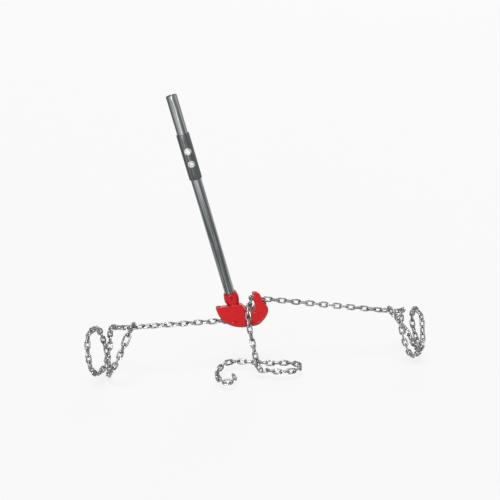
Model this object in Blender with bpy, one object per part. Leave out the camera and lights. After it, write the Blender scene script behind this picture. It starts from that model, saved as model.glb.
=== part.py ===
"""Pipe puller: a cast rocker head on a two-piece tube handle, an anchor chain and a pull chain.

Each chain ends in a choker, two turns round a pipe closed by a hook over the chain itself.
+X runs along the pipes from the anchor side to the pull side, +Y points to the back, +Z up.
The origin is the point on the pipe's crown under the rocker's sole.
"""

import math

import bmesh
import bpy
from mathutils import Matrix, Vector

MM = 0.001
GAP = 0.3 * MM  # between pieces that touch
BORDER_GAP = 0.7 * MM  # between linked stretches of chain
LIP_GAP = 1.9 * MM  # between the links on the throat's lip and the drop that swings from them
X, Y, Z = Vector((1, 0, 0)), Vector((0, 1, 0)), Vector((0, 0, 1))

# Pipes that the chokers are drawn round
PIPE_OD = 121.9 * MM
PULLED_PIPE_OD = 114.3 * MM
PULLED_PIPE_DROP = 7.4 * MM  # its crown under the first pipe's crown
FLOOR_BELOW_CROWN = 140.0 * MM

# Handle
LEAN = math.radians(13.9)  # to the anchor side
HANDLE_FOOT_X = -11.6 * MM  # where the handle's axis meets the crown's height
TUBE_OD = 31.75 * MM
TUBE_WALL = 3.0 * MM
SOCKET_BOTTOM = 59.0 * MM  # distances along the handle's axis from its foot
SOCKET_RIM = 114.2 * MM
SLEEVE_BOTTOM = 498.5 * MM
SLEEVE_LENGTH = 137.2 * MM
SLEEVE_OD = 38.1 * MM
SLEEVE_CLEARANCE = 0.3 * MM  # per side, round the tube
UPPER_TUBE_LENGTH = 182.0 * MM
BOLT_SPACING = 38.5 * MM
BOLT_DIAMETER = 9.5 * MM
BOLT_HEAD_AF = 14.3 * MM
BOLT_HEAD_HEIGHT = 6.2 * MM
NUT_HEIGHT = 8.3 * MM
WASHER_OD = 20.6 * MM
WASHER_THICKNESS = 1.6 * MM
BOLT_TAIL = 4.0 * MM

# Head casting
HEAD_THICKNESS = 48.0 * MM
CHEEK = 12.0 * MM
SOLE_CENTRE_HEIGHT = 88.0 * MM
SOLE_SLOPE = 0.307  # of the V that seats on the pipe
EDGE_RADIUS = 2.5 * MM
BOSS_OD = 42.5 * MM
COLLAR_OD = 47.0 * MM
LEDGE_HEIGHT = 57.0 * MM
HORN_TIP = (44.0 * MM, 99.0 * MM)
THROAT_CENTRE = (26.0 * MM, 60.0 * MM)
THROAT_RADIUS = 16.0 * MM
PIN = (-30.0 * MM, 14.0 * MM)
PIN_DIAMETER = 9.5 * MM
PIN_HEAD_OD = 15.0 * MM
PIN_HEAD_HEIGHT = 3.5 * MM
COTTER_DIAMETER = 2.4 * MM
COTTER_LEG = 9.0 * MM
HOLE_CLEARANCE = 0.3 * MM  # per side
SET_SCREW_HEIGHT = 100.5 * MM
SET_SCREW_DIAMETER = 9.5 * MM
SEAT = (34.0 * MM, 88.5 * MM)  # on the horn, where the caught link bears
CAUGHT_BAR_OUT = 3.6 * MM  # of its centre line from the horn
CHANNEL_RADIUS = 12.3 * MM  # of the web's far face about the caught link's bar
SLOT_WIDTH = 8.4 * MM
SLOT_FALL = math.radians(38)
SLOT_FALL_START = -5.5 * MM  # from the seat, where the slot's floor begins to fall

# Chain
LINK_WIRE = 5.6 * MM
LINK_INNER = 22.8 * MM  # the chain's pitch
LINK_WIDTH = 20.0 * MM
END_LINK_WIRE = 6.5 * MM
END_LINK_INNER = 36.0 * MM
END_LINK_WIDTH = 25.0 * MM
WIRE_SIDES = 4
TIP_SHARE = 0.51  # of a link's half width that the straight middle of its end takes
BITE = 0.3 * MM  # by which links of one stretch are seated into each other
HOOK_WIRE = 8.4 * MM
HOOK_EYE_RADIUS = 8.6 * MM
HOOK_EYE_WIRE = 6.6 * MM
HOOK_LENGTH = 31.0 * MM  # from the grabbed link's centre to the eye's centre
ANCHOR_RUN_LINKS = 13
PULL_RUN_LINKS = 21
RUN_HEIGHT = 13.0 * MM  # of a run's centre line over the crown where it is hooked
LAY_HEIGHT = 8.6 * MM  # of a turn's centre line over the pipe
CROSSING_LIFT = 20 * MM
NODE_LINKS = 8
SLACK_FLOOR_LINKS = (12, 5, 6, 6)  # of its stretches, which meet where it lies nearly straight
CAUGHT_HANG = Vector((-0.36, -0.21, -0.91))  # direction in which the caught link hangs from the horn
FLOOR_EASE = math.radians(14)  # most turn per link as the slack's links come to lean on the floor
HOOK_LEAN = math.radians(23)  # of a hook towards its choker
HOOK_TURN = math.radians(72)  # of the link that a hook holds, about the chain, from upright

RED = ("red enamel", (0.62, 0.012, 0.02), 0.32, 0.0)
TUBE_STEEL = ("tube steel", (0.42, 0.44, 0.45), 0.38, 0.9)
SLEEVE_STEEL = ("sleeve steel", (0.24, 0.26, 0.26), 0.45, 0.8)
ZINC = ("zinc", (0.78, 0.78, 0.76), 0.3, 1.0)
GREY_ZINC = ("dull zinc", (0.55, 0.56, 0.55), 0.4, 1.0)

AXIS = Vector((-math.sin(LEAN), 0, math.cos(LEAN)))
FOOT = Vector((HANDLE_FOOT_X, 0, 0))


def clear_scene():
    for obj in list(bpy.data.objects):
        bpy.data.objects.remove(obj)


def material(finish):
    name, colour, roughness, metallic = finish
    found = bpy.data.materials.get(name)
    if found:
        return found
    made = bpy.data.materials.new(name)
    made.use_nodes = True
    shader = made.node_tree.nodes["Principled BSDF"]
    shader.inputs["Base Color"].default_value = (*colour, 1)
    shader.inputs["Roughness"].default_value = roughness
    shader.inputs["Metallic"].default_value = metallic
    return made


def add_object(name, bm, finish=None, matrix=None, helper=False):
    """An object from a bmesh; a helper only cuts or joins."""
    mesh = bpy.data.meshes.new(name)
    bmesh.ops.recalc_face_normals(bm, faces=bm.faces)
    bm.to_mesh(mesh)
    bm.free()
    obj = bpy.data.objects.new(name, mesh)
    bpy.context.scene.collection.objects.link(obj)
    if matrix is not None:
        obj.matrix_world = matrix
    if helper:
        obj.hide_render = True
        obj.display_type = "WIRE"
    else:
        mesh.materials.append(material(finish))
        mesh.shade_smooth()
        mesh.set_sharp_from_angle(angle=math.radians(38))
    return obj


def boolean(obj, other, operation):
    modifier = obj.modifiers.new(f"{operation.lower()} {other.name}", "BOOLEAN")
    modifier.operation = operation
    modifier.object = other


def placed(origin, z_axis, x_hint):
    """The matrix with its origin there, its Z along z_axis and its X near x_hint."""
    z_axis = z_axis.normalized()
    y_axis = z_axis.cross(x_hint).normalized()
    x_axis = y_axis.cross(z_axis)
    matrix = Matrix((x_axis, y_axis, z_axis)).transposed().to_4x4()
    matrix.translation = origin
    return matrix


def on_handle(distance):
    return FOOT + AXIS * distance


def turned(profile, sides):
    """A solid turned round Z from (radius, height) pairs; a radius of 0 closes an end."""
    bm = bmesh.new()
    rings = []
    for radius, height in profile:
        count = sides if radius > 0 else 1
        rings.append([
            bm.verts.new((radius * math.cos(math.tau * i / sides), radius * math.sin(math.tau * i / sides), height))
            for i in range(count)
        ])
    closed = rings[0][0].co.xy.length > 0 and len(rings[0]) > 1
    pairs = list(zip(rings, rings[1:] + (rings[:1] if closed else [])))
    if not closed:
        pairs = pairs[:-1] if len(pairs) == len(rings) else pairs
    for low, high in pairs:
        for i in range(sides):
            j = (i + 1) % sides
            corners = [low[i % len(low)], low[j % len(low)], high[j % len(high)], high[i % len(high)]]
            unique = list(dict.fromkeys(corners))
            if len(unique) > 2:
                bm.faces.new(unique)
    return bm


def cylinder(radius, low, high, sides=24, chamfer=0.0):
    profile = [(0, low), (radius - chamfer, low)]
    if chamfer:
        profile += [(radius, low + chamfer), (radius, high - chamfer)]
    profile += [(radius - chamfer, high), (0, high)]
    return turned(profile, sides)


def tube(outer, inner, low, high, sides=24):
    return turned([(outer, low), (outer, high), (inner, high), (inner, low)], sides)


def prism(outline, low, high):
    """The XZ outline extruded along Y."""
    bm = bmesh.new()
    face = bm.faces.new([bm.verts.new((x, low, z)) for x, z in outline])
    grown = bmesh.ops.extrude_face_region(bm, geom=[face])["geom"]
    verts = [v for v in grown if isinstance(v, bmesh.types.BMVert)]
    bmesh.ops.translate(bm, verts=verts, vec=(0, high - low, 0))
    return bm


def arc(centre, radius, start, end, steps):
    """Points on a circle in the XZ plane; angles in degrees from +X towards +Z."""
    angles = [math.radians(start + (end - start) * i / steps) for i in range(steps + 1)]
    return [(centre[0] + radius * math.cos(a), centre[1] + radius * math.sin(a)) for a in angles]


def hexagon(across_flats, low, high, bore=0.0):
    bm = bmesh.new()
    sides = 6 if not bore else 12
    outer = []
    for i in range(sides):
        a = math.tau * i / sides
        reach = across_flats / 2 / math.cos(math.pi / 6) if i % (sides // 6) == 0 else across_flats / 2
        outer.append((reach * math.cos(a), reach * math.sin(a)))
    low_ring = [bm.verts.new((x, y, low)) for x, y in outer]
    high_ring = [bm.verts.new((x, y, high)) for x, y in outer]
    for i in range(sides):
        j = (i + 1) % sides
        bm.faces.new((low_ring[i], low_ring[j], high_ring[j], high_ring[i]))
    if not bore:
        bm.faces.new(low_ring)
        bm.faces.new(high_ring)
        return bm
    inner = [(bore * math.cos(math.tau * i / sides), bore * math.sin(math.tau * i / sides)) for i in range(sides)]
    low_bore = [bm.verts.new((x, y, low)) for x, y in inner]
    high_bore = [bm.verts.new((x, y, high)) for x, y in inner]
    for i in range(sides):
        j = (i + 1) % sides
        bm.faces.new((low_bore[i], low_bore[j], high_bore[j], high_bore[i]))
        bm.faces.new((low_ring[i], low_ring[j], low_bore[j], low_bore[i]))
        bm.faces.new((high_ring[i], high_ring[j], high_bore[j], high_bore[i]))
    return bm


def joined(first, second):
    """Both meshes in one bmesh."""
    mesh = bpy.data.meshes.new("joined")
    second.to_mesh(mesh)
    second.free()
    first.from_mesh(mesh)
    bpy.data.meshes.remove(mesh)
    return first


def head_outline():
    """The rocker's outline, anticlockwise from the anchor-side tip."""
    half = HEAD_THICKNESS / 2
    sole = SOLE_CENTRE_HEIGHT + sole_drop(half)
    ledge = LEDGE_HEIGHT
    tip_x, tip_z = HORN_TIP
    outline = [(-84 * MM, ledge - 1 * MM), (-77 * MM, 41 * MM)]
    outline += arc((0, SOLE_CENTRE_HEIGHT), sole, -136.5, -46, 14)
    outline += arc((30 * MM, 50 * MM), 46 * MM, -34, 12, 5)
    outline += [(68 * MM, 68 * MM), (61.5 * MM, 77 * MM), (57.5 * MM, 85 * MM)]
    outline += arc((tip_x, tip_z - 9 * MM), 9 * MM, 30, 100, 3)
    outline += [(tip_x - 12.5 * MM, tip_z), (tip_x - 10 * MM, tip_z - 7 * MM)]
    outline += [(SEAT[0] + 0.5 * MM, SEAT[1] - 8 * MM), (THROAT_CENTRE[0] + THROAT_RADIUS - 3.5 * MM, THROAT_CENTRE[1] + 10 * MM)]
    outline += arc(THROAT_CENTRE, THROAT_RADIUS, 0, -140, 7)
    outline += [(6.5 * MM, 55.5 * MM), (0, ledge + 4.5 * MM), (-7 * MM, ledge + 6.5 * MM), (-48 * MM, ledge + 0.5 * MM)]
    return outline


def sole_drop(side):
    """How far the V of the sole lies below the crown at this distance from the middle plane."""
    contact = 18 * MM
    seat = PIPE_OD / 2 - math.sqrt((PIPE_OD / 2) ** 2 - contact**2)
    return seat - GAP + (side - contact) * SOLE_SLOPE


def head_casting():
    half = HEAD_THICKNESS / 2
    inner = half - CHEEK
    head = add_object("head_casting", prism(head_outline(), -half, half), RED)
    bevel = head.modifiers.new("cast edges", "BEVEL")
    bevel.width = EDGE_RADIUS
    bevel.segments = 2
    bevel.limit_method = "ANGLE"
    bevel.angle_limit = math.radians(60)
    boss = BOSS_OD / 2
    collar = COLLAR_OD / 2
    profile = [
        (0, 18 * MM), (boss - 2 * MM, 18 * MM), (boss - 1 * MM, 72 * MM), (collar, 88 * MM), (collar, 97 * MM),
        (boss + 0.5 * MM, SOCKET_RIM - 7 * MM), (boss - 0.3 * MM, SOCKET_RIM - 1.5 * MM),
        (boss - 1.8 * MM, SOCKET_RIM), (0, SOCKET_RIM),
    ]
    boolean(head, add_object("socket boss", turned(profile, 28), matrix=placed(FOOT, AXIS, X), helper=True), "UNION")
    bore = TUBE_OD / 2 + HOLE_CLEARANCE
    cutters = [
        ("socket bore", cylinder(bore, SOCKET_BOTTOM, SOCKET_RIM + 20 * MM, 28), placed(FOOT, AXIS, X)),
        ("sole groove", sole_groove(half, inner), Matrix.Translation((0, 0, SOLE_CENTRE_HEIGHT))),
        ("anchor pocket", prism(anchor_pocket(), -inner, inner), None),
        ("pull channel", prism(pull_channel(), -inner, inner), None),
        ("grab slot", prism(grab_slot(), -SLOT_WIDTH / 2, SLOT_WIDTH / 2), None),
        ("pin hole", cylinder(PIN_DIAMETER / 2 + HOLE_CLEARANCE, -half - 5 * MM, half + 5 * MM, 20), along_y(*PIN)),
        (
            "set screw hole",
            cylinder(SET_SCREW_DIAMETER / 2 + HOLE_CLEARANCE, -collar - 9 * MM, -bore + 5 * MM, 16),
            across_handle(SET_SCREW_HEIGHT),
        ),
    ]
    for name, bm, matrix in cutters:
        boolean(head, add_object(name, bm, matrix=matrix, helper=True), "DIFFERENCE")
    return head


def along_y(x, z):
    """Local Z along +Y, at this place in the middle plane."""
    return placed(Vector((x, 0, z)), Y, X)


def across_handle(distance):
    """Local Z along +Y, its X along the handle's axis."""
    return placed(on_handle(distance), Y, AXIS)


def sole_groove(half, inner):
    """The ring that leaves the sole a shallow V, turned round the rocker's own axis."""
    wide = half + 6 * MM
    crown = SOLE_CENTRE_HEIGHT
    profile = [
        (crown + sole_drop(inner), -inner), (crown + sole_drop(inner), inner),
        (crown + sole_drop(wide), wide), (crown + 40 * MM, wide), (crown + 40 * MM, -wide),
        (crown + sole_drop(wide), -wide),
    ]
    bm = turned(profile, 96)
    bmesh.ops.rotate(bm, verts=bm.verts, matrix=Matrix.Rotation(-math.pi / 2, 3, "X"))
    return bm


def anchor_pocket():
    """Between the cheeks, open down and to the anchor side, for the chain's swing about the pin."""
    x, z = PIN
    reach = 17.0 * MM
    return [
        (x + 13.5 * MM, -30 * MM), (x + 13.5 * MM, z + 5 * MM), (x + 8 * MM, z + 13 * MM), (x, z + reach),
        (x - 65 * MM, z + reach + 65 * MM * math.tan(math.radians(33))), (x - 65 * MM, -30 * MM),
    ]


def pull_channel():
    """Between the cheeks behind the horn's web, open to the pull side for the run's swing."""
    x, z = SEAT
    swing = (x - CAUGHT_BAR_OUT, z)
    return [
        *arc(swing, CHANNEL_RADIUS, 60, -44, 7), (x + 12 * MM, z - 22 * MM), (x + 17 * MM, z - 31 * MM),
        (x + 56 * MM, z - 72 * MM), (x + 70 * MM, z - 72 * MM), (x + 70 * MM, z + 25 * MM), (x + 8 * MM, z + 25 * MM),
    ]


def grab_slot():
    """The slot through the horn's web for the standing link, whose floor falls away under its swing."""
    x, z = SEAT
    depth = LINK_WIDTH / 2 + 0.9 * MM
    out = 25 * MM
    return [
        (x - 12 * MM, z - depth), (x + SLOT_FALL_START, z - depth),
        (x + out, z - depth - (out - SLOT_FALL_START) * math.tan(SLOT_FALL)), (x + out, z + 25 * MM),
        (x - 12 * MM, z + 25 * MM),
    ]


def anchor_pin():
    half = HEAD_THICKNESS / 2
    end = half + WASHER_THICKNESS + 3 * GAP + COTTER_DIAMETER + 3.5 * MM
    radius = PIN_DIAMETER / 2
    profile = [
        (0, -half - GAP - PIN_HEAD_HEIGHT), (PIN_HEAD_OD / 2 - 1.5 * MM, -half - GAP - PIN_HEAD_HEIGHT),
        (PIN_HEAD_OD / 2, -half - GAP - PIN_HEAD_HEIGHT + 1.5 * MM), (PIN_HEAD_OD / 2, -half - GAP),
        (radius, -half - GAP), (radius, end - 1 * MM), (radius - 1 * MM, end), (0, end),
    ]
    pin = add_object("anchor_pin", turned(profile, 20), ZINC, along_y(*PIN))
    middle = cotter_place()
    hole = cylinder(COTTER_DIAMETER / 2 + GAP, -15 * MM, 15 * MM, 10)
    boolean(pin, add_object("cotter hole", hole, matrix=Matrix.Translation(middle), helper=True), "DIFFERENCE")
    washer = tube(WASHER_OD / 2, radius + HOLE_CLEARANCE, half + GAP, half + GAP + WASHER_THICKNESS, 16)
    add_object("pin_washer", washer, ZINC, along_y(*PIN))


def cotter_place():
    y = HEAD_THICKNESS / 2 + WASHER_THICKNESS + 2 * GAP + COTTER_DIAMETER / 2 + GAP
    return Vector((PIN[0], y, PIN[1]))


def cotter_pin():
    """A split pin: eye above, shank through the pin, ends bent apart below."""
    place = cotter_place()
    reach = PIN_DIAMETER / 2
    radius = COTTER_DIAMETER / 2
    eye = 2.4 * MM
    shank = sweep([Vector((0, 0, reach + 1.5 * MM)), Vector((0, 0, -reach - COTTER_LEG))], radius, 8)
    cotter = add_object("cotter_pin", shank, GREY_ZINC, Matrix.Translation(place))
    ring = [Vector((eye * math.cos(a), 0, eye * math.sin(a) + reach + 1.2 * MM + eye)) for a in turn(10)]
    leg = [
        Vector((0.1 * MM, 0, -reach - 2 * MM)), Vector((2.5 * MM, 0, -reach - 4.5 * MM)),
        Vector((8 * MM, 0, -reach - 5.5 * MM)),
    ]
    extra = add_object("cotter eye", sweep(ring, radius * 0.8, 6, closed=True), matrix=Matrix.Translation(place), helper=True)
    bend = add_object("cotter leg", sweep(leg, radius * 0.8, 6), matrix=Matrix.Translation(place), helper=True)
    boolean(cotter, extra, "UNION")
    boolean(cotter, bend, "UNION")


def turn(count):
    return [math.tau * i / count for i in range(count)]


def sweep(points, radius, sides, closed=False, radii=None, flat_in=None):
    """A round wire along the points, with filled ends or closed into a ring."""
    bm = bmesh.new()
    count = len(points)
    rings = []
    side_hint = None
    for i, point in enumerate(points):
        before = points[i - 1] if i or closed else point
        after = points[(i + 1) % count] if i + 1 < count or closed else point
        along = (after - before).normalized()
        if side_hint is None:
            side_hint = flat_in if flat_in is not None else (Y if abs(along.y) < 0.9 else X)
        across = (side_hint - along * side_hint.dot(along)).normalized()
        up = along.cross(across)
        side_hint = across
        reach = radii[i] if radii else radius
        rings.append([
            bm.verts.new(point + (across * math.cos(a) + up * math.sin(a)) * reach) for a in turn(sides)
        ])
    pairs = list(zip(rings, rings[1:]))
    if closed:
        pairs.append((rings[-1], rings[0]))
    for low, high in pairs:
        for i in range(sides):
            j = (i + 1) % sides
            bm.faces.new((low[i], low[j], high[j], high[i]))
    if not closed:
        bm.faces.new(rings[0])
        bm.faces.new(rings[-1])
    return bm


def set_screw():
    bore = TUBE_OD / 2
    low = -COLLAR_OD / 2 - 2.5 * MM
    high = -bore - GAP
    radius = SET_SCREW_DIAMETER / 2
    bm = turned([(0, low), (radius - 1 * MM, low), (radius, low + 1 * MM), (radius, high - 1 * MM),
                 (radius - 1.5 * MM, high), (0, high)], 16)
    screw = add_object("socket_set_screw", bm, ZINC, across_handle(SET_SCREW_HEIGHT))
    recess = add_object("set screw recess", hexagon(4.8 * MM, low - 3 * MM, low + 3.5 * MM),
                        matrix=across_handle(SET_SCREW_HEIGHT), helper=True)
    boolean(screw, recess, "DIFFERENCE")


def handle():
    outer = TUBE_OD / 2
    inner = outer - TUBE_WALL
    joint = SLEEVE_BOTTOM + SLEEVE_LENGTH / 2
    upright = placed(FOOT, AXIS, X)
    lower = add_object("lower_tube", tube(outer, inner, SOCKET_BOTTOM + GAP, joint - GAP), TUBE_STEEL, upright)
    upper = add_object("upper_tube", tube(outer, inner, joint + GAP, joint + UPPER_TUBE_LENGTH), TUBE_STEEL, upright)
    chamfer = 0.8 * MM
    sleeve_outer = SLEEVE_OD / 2
    sleeve_inner = outer + SLEEVE_CLEARANCE
    top = SLEEVE_BOTTOM + SLEEVE_LENGTH
    sleeve_profile = [
        (sleeve_outer - chamfer, SLEEVE_BOTTOM), (sleeve_outer, SLEEVE_BOTTOM + chamfer),
        (sleeve_outer, top - chamfer), (sleeve_outer - chamfer, top), (sleeve_inner, top), (sleeve_inner, SLEEVE_BOTTOM),
    ]
    sleeve = add_object("coupling_sleeve", turned(sleeve_profile, 24), SLEEVE_STEEL, upright)
    hole = BOLT_DIAMETER / 2 + HOLE_CLEARANCE
    for name, tube_object, place in (
        ("lower", lower, joint - BOLT_SPACING / 2), ("upper", upper, joint + BOLT_SPACING / 2)
    ):
        cutter = add_object(f"{name} bolt hole", cylinder(hole, -30 * MM, 30 * MM, 16), matrix=across_handle(place),
                            helper=True)
        boolean(tube_object, cutter, "DIFFERENCE")
        boolean(sleeve, cutter, "DIFFERENCE")
        coupling_bolt(name, place)


def coupling_bolt(name, place):
    """A hexagon bolt through sleeve and tube: head and washer in front, washer and nut at the back."""
    matrix = across_handle(place)
    radius = BOLT_DIAMETER / 2
    seat = SLEEVE_OD / 2 + GAP
    washer = seat + WASHER_THICKNESS
    head_low = -washer - GAP - BOLT_HEAD_HEIGHT
    tail = washer + GAP + NUT_HEIGHT + BOLT_TAIL
    bolt = add_object(f"{name}_coupling_bolt", hexagon(BOLT_HEAD_AF, head_low, -washer - GAP), ZINC, matrix)
    shank = add_object(f"{name} bolt shank", cylinder(radius, -washer - GAP - 1 * MM, tail, 16, 0.8 * MM), matrix=matrix,
                       helper=True)
    boolean(bolt, shank, "UNION")
    for side, low in (("front", -washer), ("back", seat)):
        ring = tube(WASHER_OD / 2, radius + HOLE_CLEARANCE, low, low + WASHER_THICKNESS, 16)
        add_object(f"{name}_bolt_{side}_washer", ring, ZINC, matrix)
    nut = hexagon(BOLT_HEAD_AF, washer + GAP, washer + GAP + NUT_HEIGHT, radius + GAP)
    add_object(f"{name}_coupling_nut", nut, ZINC, matrix)


def wire_corner(wire):
    """The corner radius of the faceted wire that has the round wire's section area."""
    return wire / 2 * math.sqrt(math.tau / (WIRE_SIDES * math.sin(math.tau / WIRE_SIDES)))


def wire_flat(wire):
    """From the faceted wire's centre line to the flat that faces into the link."""
    return wire_corner(wire) * math.cos(math.pi / WIRE_SIDES)


def wire_reach(wire, axes, direction):
    """How far the faceted wire reaches from its centre line; its flats face the axes."""
    return wire_flat(wire) * sum(abs(axis.dot(direction)) for axis in axes)


def seat_allowances(first, second, clearance, fixed=None):
    """How far each of two crossed links' inner ends stops short of their joint, for this clearance.

    A bend in one link's own plane turns about the middle of its round end, so that link goes further past.
    fixed is the first link's own allowance, where it is already set.
    """
    (a, a_width, a_wire), (b, b_width, b_wire) = first, second
    normal = a_width.cross(b_width).normalized()
    if normal.dot(a + b) < 0:
        normal.negate()
    apart = clearance + wire_reach(a_wire, (a, a.cross(a_width)), normal)
    apart += wire_reach(b_wire, (b, b.cross(b_width)), normal)
    share = abs(b.dot(a_width)) - abs(a.dot(b_width))
    a_past = apart / 2 * (1 + share) / a.dot(normal)
    if fixed is not None:
        a_past = wire_flat(a_wire) - fixed
    b_past = (apart - a_past * a.dot(normal)) / b.dot(normal)
    return wire_flat(a_wire) - a_past, wire_flat(b_wire) - b_past


def link(matrix, inner_length=LINK_INNER, width=LINK_WIDTH, wire=LINK_WIRE):
    """A welded link: its length along the matrix's X, its width along Y."""
    bm = bmesh.new()
    radius = wire_corner(wire)
    bend = (width - wire) / 2
    flat = wire_flat(wire)
    section = [math.pi * (1 + 1 / WIRE_SIDES) + s for s in turn(WIRE_SIDES)]
    tip = inner_length / 2 + flat
    half_tip = bend * TIP_SHARE
    slope = math.pi / 8
    corners = [(tip - bend + half_tip, -bend, -3), (tip, -half_tip, -1), (tip, half_tip, 1), (tip - bend + half_tip, bend, 3)]
    rings = []
    for end in (1, -1):
        for x, y, turns in corners:
            outward = Vector((end * math.cos(turns * slope), end * math.sin(turns * slope), 0))
            centre = Vector((end * x, end * y, 0))
            spread = radius / math.cos(slope)
            rings.append([
                bm.verts.new(matrix @ (centre + outward * (spread * math.cos(s)) + Z * (radius * math.sin(s))))
                for s in section
            ])
    for low, high in zip(rings, rings[1:] + rings[:1]):
        for i in range(WIRE_SIDES):
            j = (i + 1) % WIRE_SIDES
            bm.faces.new((low[i], low[j], high[j], high[i]))
    return bm


def link_matrix(start, end, hint, roll, inner=LINK_INNER, start_allowance=0.0):
    """Where a link lies between two joints; hint is the width's direction at a roll of 0."""
    along = (end - start).normalized()
    width = (hint - along * hint.dot(along)).normalized()
    width = Matrix.Rotation(roll, 3, along) @ width
    normal = along.cross(width)
    matrix = Matrix((along, width, normal)).transposed().to_4x4()
    matrix.translation = start + along * (start_allowance + inner / 2)
    return matrix


class Route:
    """A smooth line with the outward direction along it, walked at the chain's pitch."""

    def __init__(self, points, outwards, steps=10):
        self.points, self.outwards = [], []
        padded = [2 * points[0] - points[1], *points, 2 * points[-1] - points[-2]]
        for i in range(len(points) - 1):
            a, b, c, d = padded[i : i + 4]
            for k in range(steps):
                t = k / steps
                self.points.append(
                    0.5 * (2 * b + (c - a) * t + (2 * a - 5 * b + 4 * c - d) * t**2 + (3 * b - a - 3 * c + d) * t**3)
                )
                self.outwards.append(outwards[i].lerp(outwards[i + 1], t).normalized())
        self.points.append(points[-1])
        self.outwards.append(outwards[-1])

    def walk(self, chords):
        """Joint places at these chords from the route's start, and what is left at its end."""
        places, outs = [self.points[0]], [self.outwards[0]]
        index = 0
        for chord in chords:
            origin = places[-1]
            while index + 1 < len(self.points) and (self.points[index + 1] - origin).length < chord:
                index += 1
            if index + 1 == len(self.points):
                return places, outs, chord - (self.points[-1] - origin).length
            a, b = self.points[index], self.points[index + 1]
            low, high = 0.0, 1.0
            for _ in range(24):
                middle = (low + high) / 2
                if (a.lerp(b, middle) - origin).length < chord:
                    low = middle
                else:
                    high = middle
            places.append(a.lerp(b, high))
            outs.append(self.outwards[index].lerp(self.outwards[index + 1], high).normalized())
        return places, outs, -(self.points[-1] - places[-1]).length


class Chain:
    """Links between joints, grouped into nodes: seated into each other within a node, clear between nodes.

    An allowance is how far a link's inner end stops short of its joint, and below 0 how far it goes past.
    """

    def __init__(self, groups, before=None, after=None, after_past=0.0):
        self.groups = groups  # (name, number of links)
        self.before, self.after = before, after  # direction, width and wire of the links that reach its ends
        self.after_past = after_past  # how far the last one's inner end goes past its joint
        self.clearance = {}  # of a joint that needs more than BORDER_GAP
        self.count = sum(number for _, number in groups)
        self.borders = {0}
        for _, number in groups:
            self.borders.add(max(self.borders) + number)
        allowances = [-BORDER_GAP / 2 if k in self.borders else BITE / 2 for k in range(self.count + 1)]
        self.starts, self.ends = allowances[:-1], allowances[1:]

    def follow(self, places, hints, rolls):
        """Gives each joint the room that its bend needs."""
        links = []
        for k in range(self.count):
            matrix = link_matrix(places[k], places[k + 1], hints[k], rolls[k])
            links.append((matrix.col[0].xyz, matrix.col[1].xyz, LINK_WIRE))
        starts, ends = [0.0] * self.count, [0.0] * self.count
        for k in range(1, self.count):
            clearance = self.clearance.get(k, BORDER_GAP) if k in self.borders else -BITE
            ends[k - 1], starts[k] = seat_allowances(links[k - 1], links[k], clearance)
        if self.before:
            starts[0] = seat_allowances(self.before, links[0], BORDER_GAP, -BORDER_GAP / 2)[1]
        if self.after:
            along, width, wire = links[-1]
            ends[-1] = seat_allowances(self.after, (-along, width, wire), 2 * BORDER_GAP, -self.after_past)[1]
        self.starts, self.ends = starts, ends

    def chords(self):
        return [LINK_INNER + start + end for start, end in zip(self.starts, self.ends)]

    def build(self, places, hints, rolls, finish):
        first = 0
        for name, number in self.groups:
            sets = [None, None]
            for k in range(first, first + number):
                matrix = link_matrix(places[k], places[k + 1], hints[k], rolls[k], LINK_INNER, self.starts[k])
                made = link(matrix)
                parity = (k - first) % 2
                sets[parity] = made if sets[parity] is None else joined(sets[parity], made)
            node = add_object(name, sets[0], finish)
            if sets[1] is not None:
                boolean(node, add_object(f"{name} crossing links", sets[1], helper=True), "UNION")
            first += number


def split(name, count, first=1):
    """(name_1, links), (name_2, links) and so on, as even as they go."""
    pieces = max(1, round(count / NODE_LINKS))
    sizes = [count // pieces + (1 if i < count % pieces else 0) for i in range(pieces)]
    return [(f"{name}_{i + first}", size) for i, size in enumerate(sizes)]


class Pipe:
    """The cylinder that a choker is drawn round; angles in degrees from the crown to the back."""

    def __init__(self, diameter, crown_drop):
        self.radius = diameter / 2
        self.height = -crown_drop - self.radius

    def outward(self, angle):
        a = math.radians(angle)
        return Vector((0, math.sin(a), math.cos(a)))

    def at(self, angle, x, lay):
        return Vector((x, 0, self.height)) + self.outward(angle) * (self.radius + lay)


def smooth_bump(value, centre, flat, ramp):
    """1 within flat of the centre, easing to 0 over the ramp."""
    t = (abs(value - centre) - flat) / ramp
    t = min(1.0, max(0.0, t))
    return 1 - t * t * (3 - 2 * t)


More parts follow.
